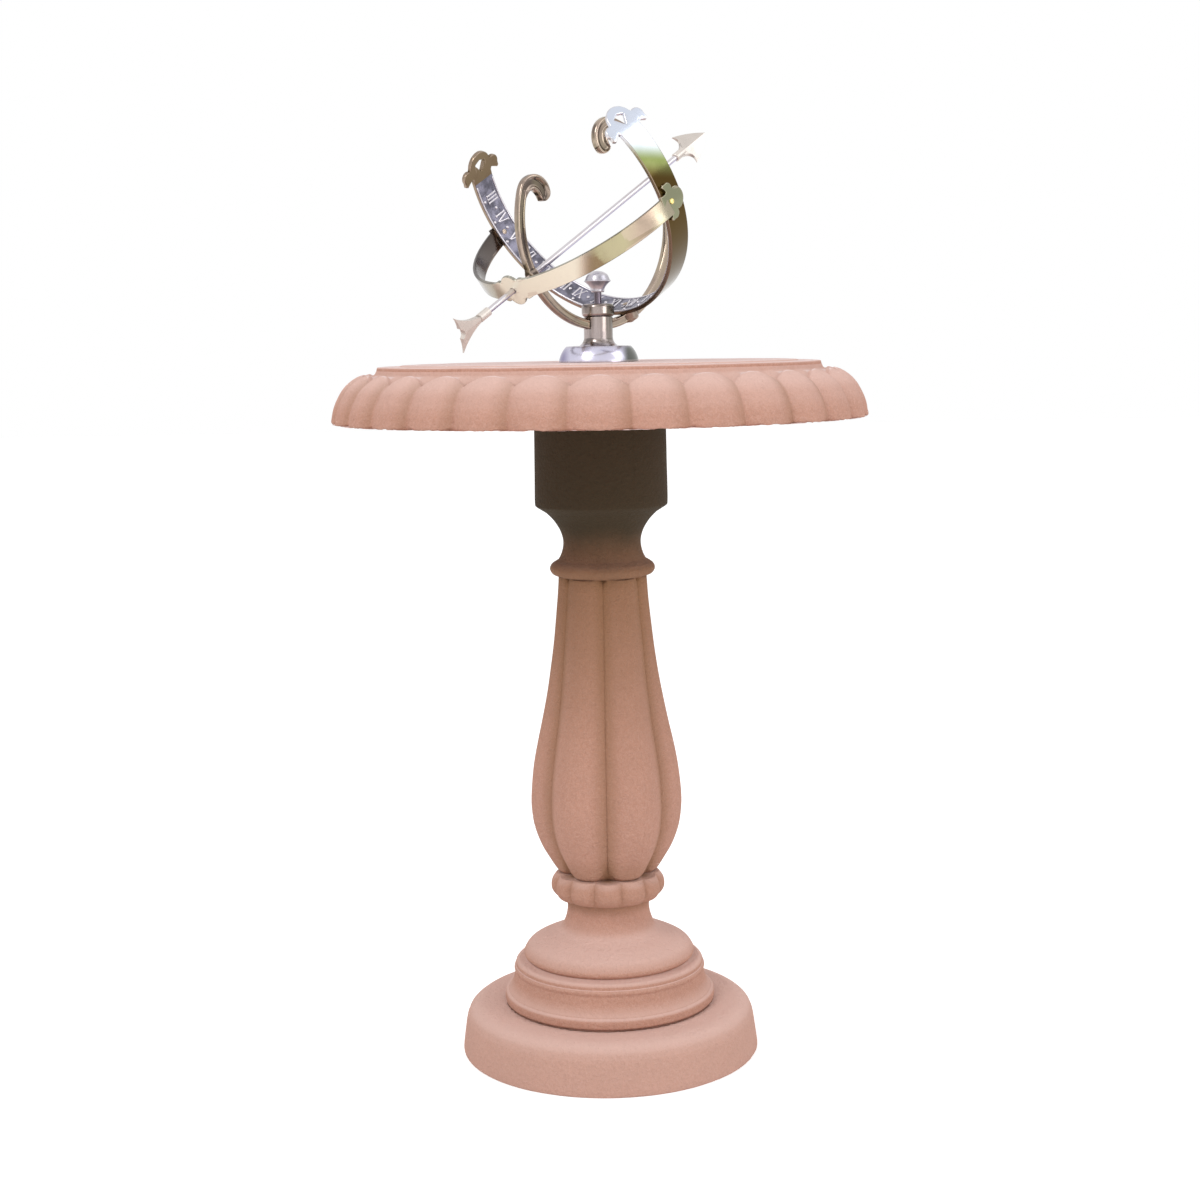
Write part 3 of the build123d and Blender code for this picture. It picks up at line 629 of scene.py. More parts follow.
def patina_material():
    """Blue-grey bloom over cast bronze."""
    colours = bpy.context.scene.sundial_finish
    material, tree, shader = new_material("patinated_bronze")
    mottle = effect(tree, "Mottle and grain", Cloud_size=90.0, Grain_size=1800.0)
    clouds = mapped(tree, mottle.outputs["Clouds"], 0.35, 0.65)
    colour = blend_colour(tree, clouds, colours.patina, scaled(colours.patina, 0.38))
    bare = mapped(tree, mottle.outputs["Grain"], 0.6, 0.8, 0.0, 0.5)
    colour = blend_colour(tree, bare, colour, colours.bronze)
    tree.links.new(colour, shader.inputs["Base Color"])
    shader.inputs["Metallic"].default_value = 0.75
    shader.inputs["Roughness"].default_value = 0.32
    bump(tree, shader, mottle.outputs["Grain"], strength=0.35, distance=0.0006)
    return material


# Painted reflections of what polished metal mirrors outdoors: a colour, and the part that shows it.
# Green and brown at the band's low right, bright at its high right, brown at its far left.
BAND_REFLECTIONS = (
    ((0.15, 0.19, 0.045), ("X", 0.0, 0.02, 0.85), ("Z", 0.893, 0.875, 1.0)),
    ((0.085, 0.047, 0.012), ("X", -0.01, 0.01, 0.95), ("Z", 0.869, 0.852, 1.0)),
    ((0.74, 0.80, 0.93), ("X", -0.02, 0.0, 0.85), ("Z", 0.868, 0.893, 1.0)),
    ((0.13, 0.085, 0.04), ("X", -0.055, -0.075, 0.85)),
)
# Painted reflections: violet-white all over the flange, dark at its right, violet at its left, brown on the post.
FLANGE = ("Z", 0.707, 0.7)
POST = ("Z", 0.706, 0.712)
FOOT_REFLECTIONS = (
    ((0.70, 0.68, 0.84), (*FLANGE, 0.85)),
    ((0.07, 0.08, 0.05), ("X", 0.019, 0.029, 0.9), (*FLANGE, 1.0)),
    ((0.16, 0.13, 0.28), ("X", -0.026, -0.036, 0.8), (*FLANGE, 1.0)),
    ((0.11, 0.10, 0.07), ("X", 0.006, 0.0095, 0.8), (*POST, 1.0)),
)
# A bloom dulls the metal over a part: the hoop's back, and the whole of the arrow.
HOOP_BLOOM = (("X", -0.004, -0.024, 1.0), ("Y", -0.012, -0.045, 1.0))
ARROW_BLOOM = (("Z", 2.0, 0.5, 0.75),)


def hoop_reflections(gold):
    """Painted reflections: cream on the hoop's left front, dark on its back, golden to brown towards its right."""
    return (
        ((1.0, 0.97, 0.80), ("X", 0.0, -0.022, 0.95)),
        ((0.28, 0.235, 0.15), ("X", -0.05, -0.06, 1.0), ("Y", -0.07, -0.056, 0.85)),
        ((0.10, 0.08, 0.08), ("Y", -0.045, -0.012, 0.9)),
        (gold, ("X", -0.014, 0.0, 0.8)),
        ((0.30, 0.21, 0.16), ("X", 0.024, 0.042, 0.75)),
        ((0.25, 0.27, 0.17), ("X", 0.046, 0.062, 0.85)),
    )


def make_materials():
    """Every finish, by name."""
    colours = bpy.context.scene.sundial_finish
    bronze, dark, gold = colours.bronze, colours.bronze_dark, colours.bronze_gold
    mottle_group()
    curvature_group()
    reflection_bands_group()
    FINISHES.update({
        "stone": stone_material("terracotta_stone"),
        "table": stone_material("terracotta_table", hollow_shade_share=0.08, flat_top_light_share=0.85),
        "plinth": stone_material("terracotta_plinth", pale_share=0.27),
        "mortar": mortar_material(),
        "bronze": metal_material("polished_bronze", bronze, dark, 0.10, 0.65, gold, 0.3),
        "band": metal_material(
            "band_bronze", bronze, dark, 0.10, 0.6, gold, 0.3, reflections=BAND_REFLECTIONS
        ),
        "gold": metal_material(
            "golden_bronze", bronze, dark, 0.12, 0.45, gold, 0.5,
            reflections=hoop_reflections(gold), dull=HOOP_BLOOM,
        ),
        "foot": metal_material(
            "foot_bronze", (0.42, 0.36, 0.35), dark, 0.19, 0.6, bronze, 0.3,
            reflections=FOOT_REFLECTIONS, worn=0.15,
        ),
        "shank": metal_material("toned_screw", (0.17, 0.14, 0.17), dark, 0.15),
        # The rod's underside takes a painted dark violet shade.
        "silver": metal_material(
            "bright_bronze", colours.silver, bronze, 0.12, under=(0.06, 0.045, 0.28), worn=0.15
        ),
        "arrow": metal_material(
            "arrow_bronze", (0.66, 0.60, 0.55), dark, 0.2, 0.4, dull=ARROW_BLOOM, worn=0.3
        ),
        "relief": metal_material(
            "rubbed_relief", (0.62, 0.59, 0.62), colours.patina, 0.25, 0.35
        ),
        "patina": patina_material(),
        "brass": metal_material("brass", colours.brass, dark, 0.2, 0.15),
        "steel": metal_material(
            "dull_steel", (0.40, 0.38, 0.36), (0.2, 0.19, 0.18), 0.35, 0.3
        ),
    })


# ---- pedestal ----
class Pedestal:
    """Sizes of the pedestal in mm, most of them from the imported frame.

    The groove's crease is a share of the body's radius. Insets run inwards from the table's edge.
    """

    plinth_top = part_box("plinth")[1].z / MM
    plinth_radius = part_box("plinth")[1].x / MM
    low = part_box("baluster")[0].z / MM
    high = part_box("baluster")[1].z / MM
    foot_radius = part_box("baluster")[1].x / MM
    table_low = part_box("table_top")[0].z / MM
    table_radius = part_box("table_top")[1].x / MM
    collar_low = low + 103
    body_low = low + 134
    collar_high = body_low - 5.5
    torus_low = body_low + 294
    scallop_depth = 4.2
    crease_depth = 0.055
    seam_half_w = 0.35
    rim_inset = 44
    rim_climb = 40
    rim_dip = 3.2
    disc_inset = 45


def baluster_stations():
    """Outline of the baluster as (radius, height) from the foot up."""
    z = Pedestal.low
    r = Pedestal.foot_radius
    foot = [
        (r - 1.4, z), (r - 0.2, z + 1.2), (r, z + 3), (r - 0.1, z + 7), (r - 1.2, z + 9.2),
        (r - 3.4, z + 10.4),
    ]
    side = [(r - 3.6, z + 10.8), (r - 6.6, z + 15), (r - 9.2, z + 21), (r - 10.8, z + 29.5)]
    bead = [(r - 10.6, z + 30), (r - 9.7, z + 32.4), (r - 10.6, z + 35.2)]
    upper_bead = [(r - 11.6, z + 35.8), (r - 11.6, z + 38.4), (r - 13.4, z + 40.6)]
    hollow = [(r - 15.4, z + 41.2), (r - 20.4, z + 41.6), (r - 23.2, z + 43)]
    bell = [
        (r - 22.6, z + 44), (r - 20.2, z + 46), (r - 20.4, z + 50), (r - 26, z + 57.5),
        (r - 38.4, z + 64), (r - 50.5, z + 68.6), (r - 58.5, z + 74), (r - 63, z + 84),
        (r - 64.6, z + 94), (r - 63.6, z + 102),
    ]
    low = Pedestal.collar_low
    collar = [
        (44, low + 0.6), (51, low + 2.5), (55.8, low + 8), (56.8, low + 14), (55.4, low + 20.5),
        (51.5, low + 26),
    ]
    runs = (
        (foot, 4), (side, 6), (bead, 4), (upper_bead, 3), (hollow, 3), (bell, 5), (collar, 5),
    )
    return joined_runs(runs) + body_stations() + head_stations()


def joined_runs(runs):
    """Smooth curves one after another, each with its own number of steps to a span."""
    return [station for run, steps in runs for station in smooth_run(run, steps)]


def body_stations():
    """Crest line of the lobed body."""
    low = Pedestal.body_low
    crest = [
        (46.0, low - 4.5), (50.5, low - 1), (57.6, low + 10), (65.5, low + 24), (72, low + 42),
        (74.7, low + 60), (74.8, low + 76), (72.6, low + 100), (68.2, low + 125),
        (61.6, low + 155), (55.8, low + 185), (51.2, low + 215), (47.6, low + 245),
        (45, low + 270), (43.9, low + 285), (43.4, low + 293),
    ]
    return smooth_run(crest, 8)


def head_stations():
    """Torus, cove and drum."""
    z = Pedestal.torus_low
    top = Pedestal.high
    torus = [
        (41, z + 0.2), (44.5, z + 0.8), (49.3, z + 3), (51.7, z + 7.6), (50, z + 12.2),
        (45.5, z + 15.4),
    ]
    cove = [
        (43.2, z + 16.6), (40.4, z + 22), (38.4, z + 30), (38.6, z + 38), (41.6, z + 47),
        (47.4, z + 56), (54.2, z + 63),
    ]
    lip = [(55.4, z + 63.8), (59.6, z + 66.4), (64.2, z + 69.4), (65, z + 71.4), (65.2, z + 76)]
    drum = [(65.2, z + 77), (65, z + 95), (64.6, z + 120), (64.3, top - 2), (63.6, top)]
    return joined_runs(((torus, 5), (cove, 5), (lip, 4), (drum, 6)))


def baluster_shape(station, angle):
    """Radius and height on the baluster, with its lobes, scallops and mould seam, and its painted shade below the
    collar, in the scallops and in the body's grooves.
    """
    sizes = bpy.context.scene.sundial_stone
    radius, height = station
    collar_low = Pedestal.collar_low
    # Painted shadow just below the collar.
    painted_shade = 0.55 * ramp(collar_low - 13, collar_low, height) * (height <= collar_low + 1)
    if collar_low < height < Pedestal.collar_high:
        across = lobe_place(angle, sizes.collar_lobes, 0.5)
        bulge = min(radius - 42, 14) / 14
        radius -= Pedestal.scallop_depth * across ** 2 * bulge
        # Painted shade in the scallops' grooves.
        painted_shade = 0.12 + 0.25 * across ** 4 * bulge
    elif Pedestal.collar_high <= height < Pedestal.torus_low:
        across = abs(lobe_place(angle, sizes.body_lobes))
        radius *= 1 - body_groove(across, height)
        # Painted shade in the body's grooves and at its ends.
        painted_shade = body_painted_shade(across, height)
    for turn in (0, pi):
        seam = seam_angle() + turn
        gap = abs((angle - seam + pi) % (2 * pi) - pi) * radius
        flow = 0.55 + 0.45 * noise.noise(Vector((0, 0, height / 23)))
        radius += sizes.seam * flow * max(0, 1 - gap / Pedestal.seam_half_w)
    radius += roughness(radius, angle, height, 31, 0.22)
    return radius, height, min(painted_shade, 0.8)


def body_groove(across, height):
    """Depth at a place across a body's lobe, as a share of the crest's radius.

    The lobe is narrower towards its two rounded ends.
    """
    low, top = Pedestal.body_low, Pedestal.torus_low
    lower = min(max((height - low + 3) / 30, 0), 1)
    upper = min(max((top - height) / 12, 0), 1)
    end = 0.5 + 0.5 * sqrt(1 - (1 - lower) ** 2)
    end = min(end, 0.72 + 0.28 * sqrt(1 - (1 - upper) ** 2))
    groove = bpy.context.scene.sundial_stone.body_groove
    groove *= 0.62 + 0.38 * ramp(low + 250, low + 120, height)
    return groove * valley(across) + Pedestal.crease_depth * ramp(end - 0.06, end + 0.14, across)


def body_painted_shade(across, height):
    """Painted shade on the body: most in its grooves and at its two ends."""
    low, top = Pedestal.body_low, Pedestal.torus_low
    ends = 0.35 * ramp(top - 14, top, height) + 0.3 * ramp(low + 26, low, height)
    return 0.5 * ramp(0.5, 1.0, across) + ends


def valley(across):
    """Depth between two lobes, from 0 at a crest to 1 at the rounded, faintly creased groove."""
    return 0.72 * (0.5 - 0.5 * cos(pi * across)) + 0.28 * across ** 3


def seam_angle():
    """Angle of the mould's seam about Z."""
    return -pi / 2 + bpy.context.scene.sundial_stone.seam_bearing


def table_stations():
    """Outline of the table from its underside's middle, over the rim, to its disc's middle."""
    z = Pedestal.table_low
    r = Pedestal.table_radius
    underside = [
        (30, z + 0.4), (66, z + 0.2), (150, z + 0.8), (225, z + 0.9), (r - 9, z + 0.6),
        (r - 2.2, z + 0.1),
    ]
    edge = [(r - 1.2, z), (r - 0.2, z + 0.9), (r, z + 2.6)]
    rim = [
        (r - 0.1, z + 4), (r - 2, z + 14), (r - 6.4, z + 24.5), (r - 14.5, z + 36),
        (r - 24.5, z + 43.8), (r - 35, z + 47.8),
    ]
    flat = [(r - 37.5, z + 48.5), (r - 42, z + 49.4), (r - 44.6, z + 49.8)]
    disc_r = r - Pedestal.disc_inset
    step = [(disc_r, z + 50.2), (disc_r - 0.6, z + 53), (disc_r - 2.2, z + 53.6)]
    step += [(disc_r - run, z + 53.7) for run in (5, 9, 14, 20)]
    inner = [(disc_r - 22, z + 53.8), (disc_r - 23.2, z + 54.7), (disc_r - 25, z + 55)]
    inner += [(disc_r - run, z + 55) for run in (29, 36, 50, 80, 120, 180)]
    return joined_runs(
        ((underside, 3), (edge, 3), (rim, 7), (flat, 2), (step, 3), (inner, 3))
    )


def table_shape(station, angle):
    """Radius and height on the table, with the rim's gadroons and the painted shade on one flank of each, in its
    grooves and in the dip above it.
    """
    sizes = bpy.context.scene.sundial_stone
    radius, height = station
    low = Pedestal.table_low
    inset = Pedestal.table_radius - radius
    flank = lobe_place(angle, sizes.rim_lobes, 0.5)
    across = abs(flank)
    painted_shade = 0.0
    if inset < Pedestal.rim_inset and height > low:
        climb = inset / Pedestal.rim_climb
        lean = min(climb, 1) * pi / 2
        profile = 0.6 * valley(across) + 0.4 * across ** 3.5
        depth = sizes.rim_groove * profile * ramp(1.12, 0.82, climb)
        radius -= depth * cos(lean)
        height -= 0.8 * depth * sin(lean)
        crown = 0.90 - 0.30 * across ** 2
        dip = ramp(crown - 0.10, crown + 0.03, climb) * ramp(1.16, 1.05, climb)
        height -= Pedestal.rim_dip * dip
        # Painted shade on one flank of each gadroon, in its grooves and in the dip above it.
        tone = 0.3 * ramp(0.2, 1.0, flank) + 0.06 * ramp(0.6, 1.0, across)
        painted_shade = tone * ramp(0.95, 0.5, climb) + 0.1 * dip
    chipped = ramp(12, 5, inset)
    chips = roughness(radius, angle, height, 5, 1.0) * ramp(12, 0, height - low)
    radius -= chipped * (0.55 + chips)
    height += chipped * abs(roughness(radius, angle, height, 7, 2.2)) * ramp(3, 0, height - low)
    height += roughness(radius, angle, height, 45, 0.25) * ramp(0, 4, height - low) - 0.25
    return radius, max(height, low), painted_shade


def plinth_stations():
    """Outline of the plinth."""
    r = Pedestal.plinth_radius
    top = Pedestal.plinth_top
    side = [(r - 1.6, 0.0), (r - 0.3, 1.0), (r - 0.2, 3.5), (r - 2, 18), (r - 3.6, 30)]
    shoulder = [
        (r - 4.6, 35), (r - 7.6, 41.5), (r - 13, 46.2), (r - 20, 48.4), (r - 27, top - 0.2),
        (100, top - 0.1),
    ]
    return smooth_run(side, 5) + smooth_run(shoulder, 6) + [(60, top), (10, top)]


def plinth_shape(station, angle):
    """Radius and height on the plinth, slightly uneven."""
    radius, height = station
    radius += roughness(radius, angle, height, 40, 0.4) - 0.25
    if height < 3:
        radius -= abs(roughness(radius, angle, height, 5, 0.7))
    return radius, height, 0.0


def mortar_mesh(name, radius, low, high):
    """Ragged bead of mortar squeezed out of a joint."""
    inside, shoulder = radius - 6, radius - 0.8
    middle = (radius, (low + high) / 2)
    outline = [(inside, low), (shoulder, low), middle, (shoulder, high), (inside, high)]

    def shape(station, angle):
        r, z = station
        ragged = 1.6 * noise.noise(Vector((cos(angle), sin(angle), z / 40)) * 22)
        return r + ragged, z, 0.0

    return turned_mesh(name, smooth_run(outline, 2), stone_angles(420), shape)


class SUNDIAL_OT_pedestal(bpy.types.Operator):
    """Cast stone plinth, baluster and table, with their mortar joints"""

    bl_idname = "sundial.pedestal"
    bl_label = "Pedestal"

    def execute(self, context):
        seams = (seam_angle(), seam_angle() + pi)
        mesh = turned_mesh("plinth_stone", plinth_stations(), stone_angles(240), plinth_shape)
        piece = add_piece("plinth_stone", mesh, "pedestal", "cast_stone", FINISHES["plinth"])
        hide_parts("plinth")
        angles = stone_angles(240, seams)
        mesh = turned_mesh("baluster_stone", baluster_stations(), angles, baluster_shape)
        piece = add_piece("baluster_stone", mesh, "pedestal", "cast_stone", FINISHES["stone"])
        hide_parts("baluster")
        mesh = turned_mesh("table_stone", table_stations(), stone_angles(600), table_shape)
        piece = add_piece("table_stone", mesh, "pedestal", "cast_stone", FINISHES["table"])
        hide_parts("table_top")
        low, high = Pedestal.plinth_top - 0.2, Pedestal.low + 0.3
        mesh = mortar_mesh("plinth_joint", Pedestal.foot_radius - 1.2, low, high)
        piece = add_piece("plinth_joint", mesh, "pedestal", "mortar", FINISHES["mortar"])
        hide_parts("plinth_mortar")
        mesh = mortar_mesh("table_joint", 64, Pedestal.high - 0.3, Pedestal.table_low + 0.3)
        piece = add_piece("table_joint", mesh, "pedestal", "mortar", FINISHES["mortar"])
        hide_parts("table_mortar")
        return {"FINISHED"}


# ---- dial: places ----
def dial_place():
    """The dial's frame in the part's, in metres, from the axis that the ring tilts about."""
    tilt = next(joint for joint in frame["joints"] if joint["name"] == "ring_tilt")
    slope = bpy.context.scene.sundial_dial.slope
    east = Vector(tilt["axis"])
    level = Vector((0, 0, 1)).cross(east)
    along = level * cos(slope) + Vector((0, 0, sin(slope)))
    turn = Matrix((along, east.cross(along), east)).transposed().to_4x4()
    return Matrix.Translation(tilt["pos_m"]) @ turn @ Matrix.Scale(MM, 4)


class Band:
    """Sizes of the hour band and the hoop in mm, and the way their axes run in the dial's frame.

    The seat is the band's distance from the ring's centre where the two cross. The finial
    starts past the band's arc.
    """

    radius = 124.0
    thick = 4.0
    width = 26.0
    edge = 0.7
    past_arc = 4.5
    half_arc = radians(110.8)
    turn = radians(2.8)
    back = 9.0
    roll = radians(4.2)
    seat = 90.0
    lift = radius - seat
    up = Vector((0, cos(roll), -sin(roll)))
    side = Vector((0, sin(roll), cos(roll)))
    hoop_thick = 3.0
    hoop_edge = 0.55
    hoop_eye = 2.95
    hoop_width = 18.5
    hoop_reach = 125.0
    hoop_rise = 13.0


def axes_place(origin, x_axis, z_axis):
    """Frame in the dial's, from its origin and two of its axes."""
    turn = Matrix((x_axis, z_axis.cross(x_axis), z_axis)).transposed().to_4x4()
    return Matrix.Translation(origin) @ turn


def band_place():
    """Frame of the hour band: Z is the band's axis, pointing to the arrow's tail."""
    origin = Vector((-Band.back, 0, 0)) + Band.up * Band.lift
    return axes_place(origin, Band.side, Vector((-1, 0, 0)))


def band_meeting():
    """Angle on the band, from its middle, where the hoop meets it."""
    return acos((Band.lift - Band.hoop_rise) / Band.radius)


def hoop_radius():
    """Radius of the hoop's inner face."""
    half = Band.radius * sin(band_meeting())
    return sqrt(half ** 2 + (Band.back + Band.width / 2) ** 2)


def hoop_place():
    """Frame of the hoop: Z is the hoop's axis."""
    slope = atan2(Band.hoop_rise, Band.hoop_reach)
    run = hoop_radius() + Band.hoop_thick / 2
    origin = Vector((run * cos(slope) - Band.hoop_reach, 0, 0)) + Band.up * (run * sin(slope))
    normal = Vector((-sin(slope), 0, 0)) + Band.up * cos(slope)
    return axes_place(origin, Band.side, normal)


# ---- dial: bent plates ----
# distance between the cuts that a plate bends at, mm
CUT_EVERY = 2.5


def arc_points(centre, radius, start, end, steps):
    """Points on an arc, from one angle in degrees to another."""
    angles = [radians(start + (end - start) * k / steps) for k in range(steps + 1)]
    return [(centre[0] + radius * cos(a), centre[1] + radius * sin(a)) for a in angles]


def plate_mesh(outlines, thick, round_by):
    """Flat plate from closed outlines, inner ones cut out, with rounded edges.

    Cuts run across it, so that it can be bent.
    """
    line = bpy.data.curves.new("outline", "CURVE")
    line.dimensions = "2D"
    line.fill_mode = "BOTH"
    line.extrude = thick / 2 - round_by
    line.bevel_depth = round_by
    line.bevel_resolution = 1
    line.offset = -round_by
    for outline in outlines:
        spline = line.splines.new("POLY")
        spline.points.add(len(outline) - 1)
        for point, (x, y) in zip(spline.points, outline):
            point.co = (x, y, 0, 1)
        spline.use_cyclic_u = True
    carrier = bpy.data.objects.new("outline", line)
    bpy.context.scene.collection.objects.link(carrier)
    graph = bpy.context.evaluated_depsgraph_get()
    mesh = bpy.data.meshes.new_from_object(carrier.evaluated_get(graph))
    bpy.data.objects.remove(carrier)
    work = bmesh.new()
    work.from_mesh(mesh)
    bpy.data.meshes.remove(mesh)
    bmesh.ops.remove_doubles(work, verts=work.verts, dist=0.004)
    low = min(vert.co.x for vert in work.verts)
    high = max(vert.co.x for vert in work.verts)
    cuts = int((high - low) / CUT_EVERY)
    for k in range(1, cuts):
        spot = (low + (high - low) * k / cuts, 0, 0)
        geometry = work.verts[:] + work.edges[:] + work.faces[:]
        bmesh.ops.bisect_plane(work, geom=geometry, plane_co=spot, plane_no=(1, 0, 0), dist=1e-4)
    return work


def bend(work, radius, place, around=0.0):
    """Bends a flat plate round its frame's Z.

    The plate's X runs round from -Y, its Y runs along Z, and its Z points out.
    """
    shape = dial_place() @ place
    for vert in work.verts:
        along, across, out = vert.co
        angle = along / radius + around
        far = radius + out
        vert.co = shape @ Vector((far * sin(angle), -far * cos(angle), across))


def join_work(parts, name):
    """One mesh from several works, whose faces keep their material's place."""
    whole = bmesh.new()
    for part in parts:
        piece = bpy.data.meshes.new("part")
        bmesh.ops.recalc_face_normals(part, faces=part.faces)
        part.to_mesh(piece)
        part.free()
        whole.from_mesh(piece)
        bpy.data.meshes.remove(piece)
    mesh = bpy.data.meshes.new(name)
    whole.to_mesh(mesh)
    whole.free()
    return mesh


def weighted(piece):
    """Smooth shading that keeps the flat faces flat."""
    for face in piece.data.polygons:
        face.use_smooth = True
    modifier = piece.modifiers.new("flat faces", "WEIGHTED_NORMAL")
    modifier.weight = 80
    bpy.context.view_layer.update()
    graph = bpy.context.evaluated_depsgraph_get()
    made = bpy.data.meshes.new_from_object(piece.evaluated_get(graph))
    piece.modifiers.clear()
    piece.data = made


def finial_half():
    """Upper half of a trefoil's outline, from the strip's edge to the tip, X out from its end."""
    shoulder = [(-7, 13), (-1.5, 13.2), (0.4, 14.6), (-1.2, 17.6), (-4, 22.2), (-2.6, 24.4)]
    curl = arc_points((4.6, 18.2), 6.8, 118, -28, 10)
    lobe = arc_points((9.6, 0), 14.4, 68, 0, 10)
    return shoulder + curl + [(12.1, 14.2)] + lobe


def window_outline():
    """Rounded triangle that pierces a trefoil, apex to the strip."""
    apex = arc_points((4.6, 0), 1.0, 120, 240, 5)
    low_corner = arc_points((12.4, -5.4), 1.2, 205, 330, 5)
    base = arc_points((14.0, 0), 1.8, -30, 30, 5)
    high_corner = arc_points((12.4, 5.4), 1.2, 30, 155, 5)
    return apex + low_corner + base + high_corner


# ---- dial: relief on the hour band ----
# level that a raised form starts from: mm for bars and rims, a share of the height for studs
SUNK = -0.3


def raised_bar(work, start, end, half_w, height):
    """Raised bar with sloping sides between two points on a flat face, Z out of it."""
    taper = 0.35
    run = Vector(end) - Vector(start)
    side = Vector((-run.y, run.x)).normalized() * half_w
    tip = run.normalized() * half_w * taper
    rows = []
    for level, share in ((SUNK, 1.0), (0.55 * height, 0.92), (height, 1 - taper)):
        near = Vector(start) + tip * (1 - share)
        far = Vector(end) - tip * (1 - share)
        wide = side * share
        corners = (near - wide, far - wide, far + wide, near + wide)
        rows.append([work.verts.new((*corner, level)) for corner in corners])
    join_rows(work, rows)
    work.faces.new(rows[-1])
    work.faces.new(reversed(rows[0]))


def raised_dome(work, centre, radius, height):
    """Low round stud."""
    count = 12
    rings = []
    for level, share in ((SUNK, 1.0), (0.1, 1.0), (0.55, 0.86), (0.85, 0.55)):
        points = arc_points(centre, radius * share, 0, 360 * (count - 1) / count, count - 1)
        rings.append([work.verts.new((x, y, level * height)) for x, y in points])
    join_rows(work, rings)
    top = work.verts.new((*centre, height))
    for k in range(count):
        work.faces.new((rings[-1][k], rings[-1][(k + 1) % count], top))
    work.faces.new(reversed(rings[0]))


def raised_rim(work, start, length, level, half_w, height):
    """Long raised strip along X, in short steps so that it can be bent."""
    steps = 180
    top = 0.75 * half_w
    section = ((-half_w, SUNK), (-top, height), (top, height), (half_w, SUNK))
    rows = []
    for k in range(steps + 1):
        x = start + length * k / steps
        rows.append([work.verts.new((x, level + across, up)) for across, up in section])
    join_rows(work, rows)
    work.faces.new(rows[0])
    work.faces.new(reversed(rows[-1]))


LETTER_WIDTH = {"I": 3.5, "V": 8.2, "X": 8.0}
SERIF = 1.35
HOURS = ("XII", "I", "II", "III", "IV", "V", "VI", "VII", "VIII", "IX", "X", "XI")


def raised_numeral(work, text, middle, height, relief):
    """Roman numeral in raised strokes. Its top points to -Y and it reads towards +X."""
    x = middle[0] - sum(LETTER_WIDTH[letter] for letter in text) / 2
    low = middle[1] + height / 2
    high = middle[1] - height / 2
    for letter in text:
        width = LETTER_WIDTH[letter]
        centre = x + width / 2
        reach = width / 2 - 1.0
        if letter == "I":
            raised_bar(work, (centre, low), (centre, high), 0.95, relief)
            feet = [(centre, low), (centre, high)]
        elif letter == "V":
            raised_bar(work, (centre - reach, high), (centre - 0.2, low), 1.05, relief)
            raised_bar(work, (centre + reach, high), (centre + 0.2, low), 0.7, relief)
            feet = [(centre - reach, high), (centre + reach, high)]
        else:
            raised_bar(work, (centre - reach, high), (centre + reach, low), 0.85, relief)
            raised_bar(work, (centre + reach, high), (centre - reach, low), 0.55, relief)
            feet = [(centre + a * reach, level) for a in (-1, 1) for level in (low, high)]
        for foot, level in feet:
            raised_bar(work, (foot - SERIF, level), (foot + SERIF, level), 0.5, 0.85 * relief)
        x += width


def band_relief():
    """Numerals, studs and rims on the band's inner face, flat, with Z towards the band's axis."""
    sizes = bpy.context.scene.sundial_dial
    mid = Band.radius - Band.thick / 2
    stud, stud_height = 1.8, 1.5 * sizes.relief
    last = 9
    work = bmesh.new()
    for hour in range(-last, last + 1):
        middle = hour * sizes.hour_step * mid
        raised_numeral(work, HOURS[hour % 12], (middle, -1.9), 12.4, sizes.relief)
        raised_dome(work, (middle, 8.7), stud, stud_height)
        if hour < last:
            between = middle + sizes.hour_step * mid / 2
            raised_dome(work, (between, -1.4), stud, stud_height)
    end = Band.half_arc * mid - 5
    start = Band.turn * mid - end
    for side in (-1, 1):
        level = side * (Band.width / 2 - 1.3)
        raised_rim(work, start, 2 * end, level, 0.85, 0.75 * sizes.relief)
    return work


class SUNDIAL_OT_hour_band(bpy.types.Operator):
    """Hour band with pierced trefoil ends and raised hours"""

    bl_idname = "sundial.hour_band"
    bl_label = "Hour band"

    def execute(self, context):
        mid = Band.radius - Band.thick / 2
        end = Band.half_arc * Band.radius + Band.past_arc
        shrink = mid / Band.radius
        right = [((end + x) * shrink, y) for x, y in finial_half()]
        upper = [(-x, y) for x, y in reversed(right)] + right
        lower = [(x, -y) for x, y in reversed(upper)]
        outline = upper + [point for point in lower if abs(point[1]) > 0.01]
        windows = [
            [(side * (end + x) * shrink, y) for x, y in window_outline()] for side in (-1, 1)
        ]
        plate = plate_mesh([outline, *windows], Band.thick, Band.edge)
        bmesh.ops.recalc_face_normals(plate, faces=plate.faces)
        patina_end = end * shrink - 6
        for face in plate.faces:
            inside = face.normal.z < -0.9 and abs(face.calc_center_median().x) < patina_end
            face.material_index = int(inside)
        bend(plate, mid, band_place(), Band.turn)
        relief = band_relief()
        for vert in relief.verts:
            vert.co.z = -vert.co.z - Band.thick / 2
        for face in relief.faces:
            face.material_index = 2
        bend(relief, mid, band_place())
        mesh = join_work([plate, relief], "hour_band_plate")
        finishes = (FINISHES["band"], FINISHES["patina"], FINISHES["relief"])
        piece = add_piece("hour_band_plate", mesh, "armillary", "bronze", *finishes)
        weighted(piece)
        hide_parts("hour_band")
        return {"FINISHED"}


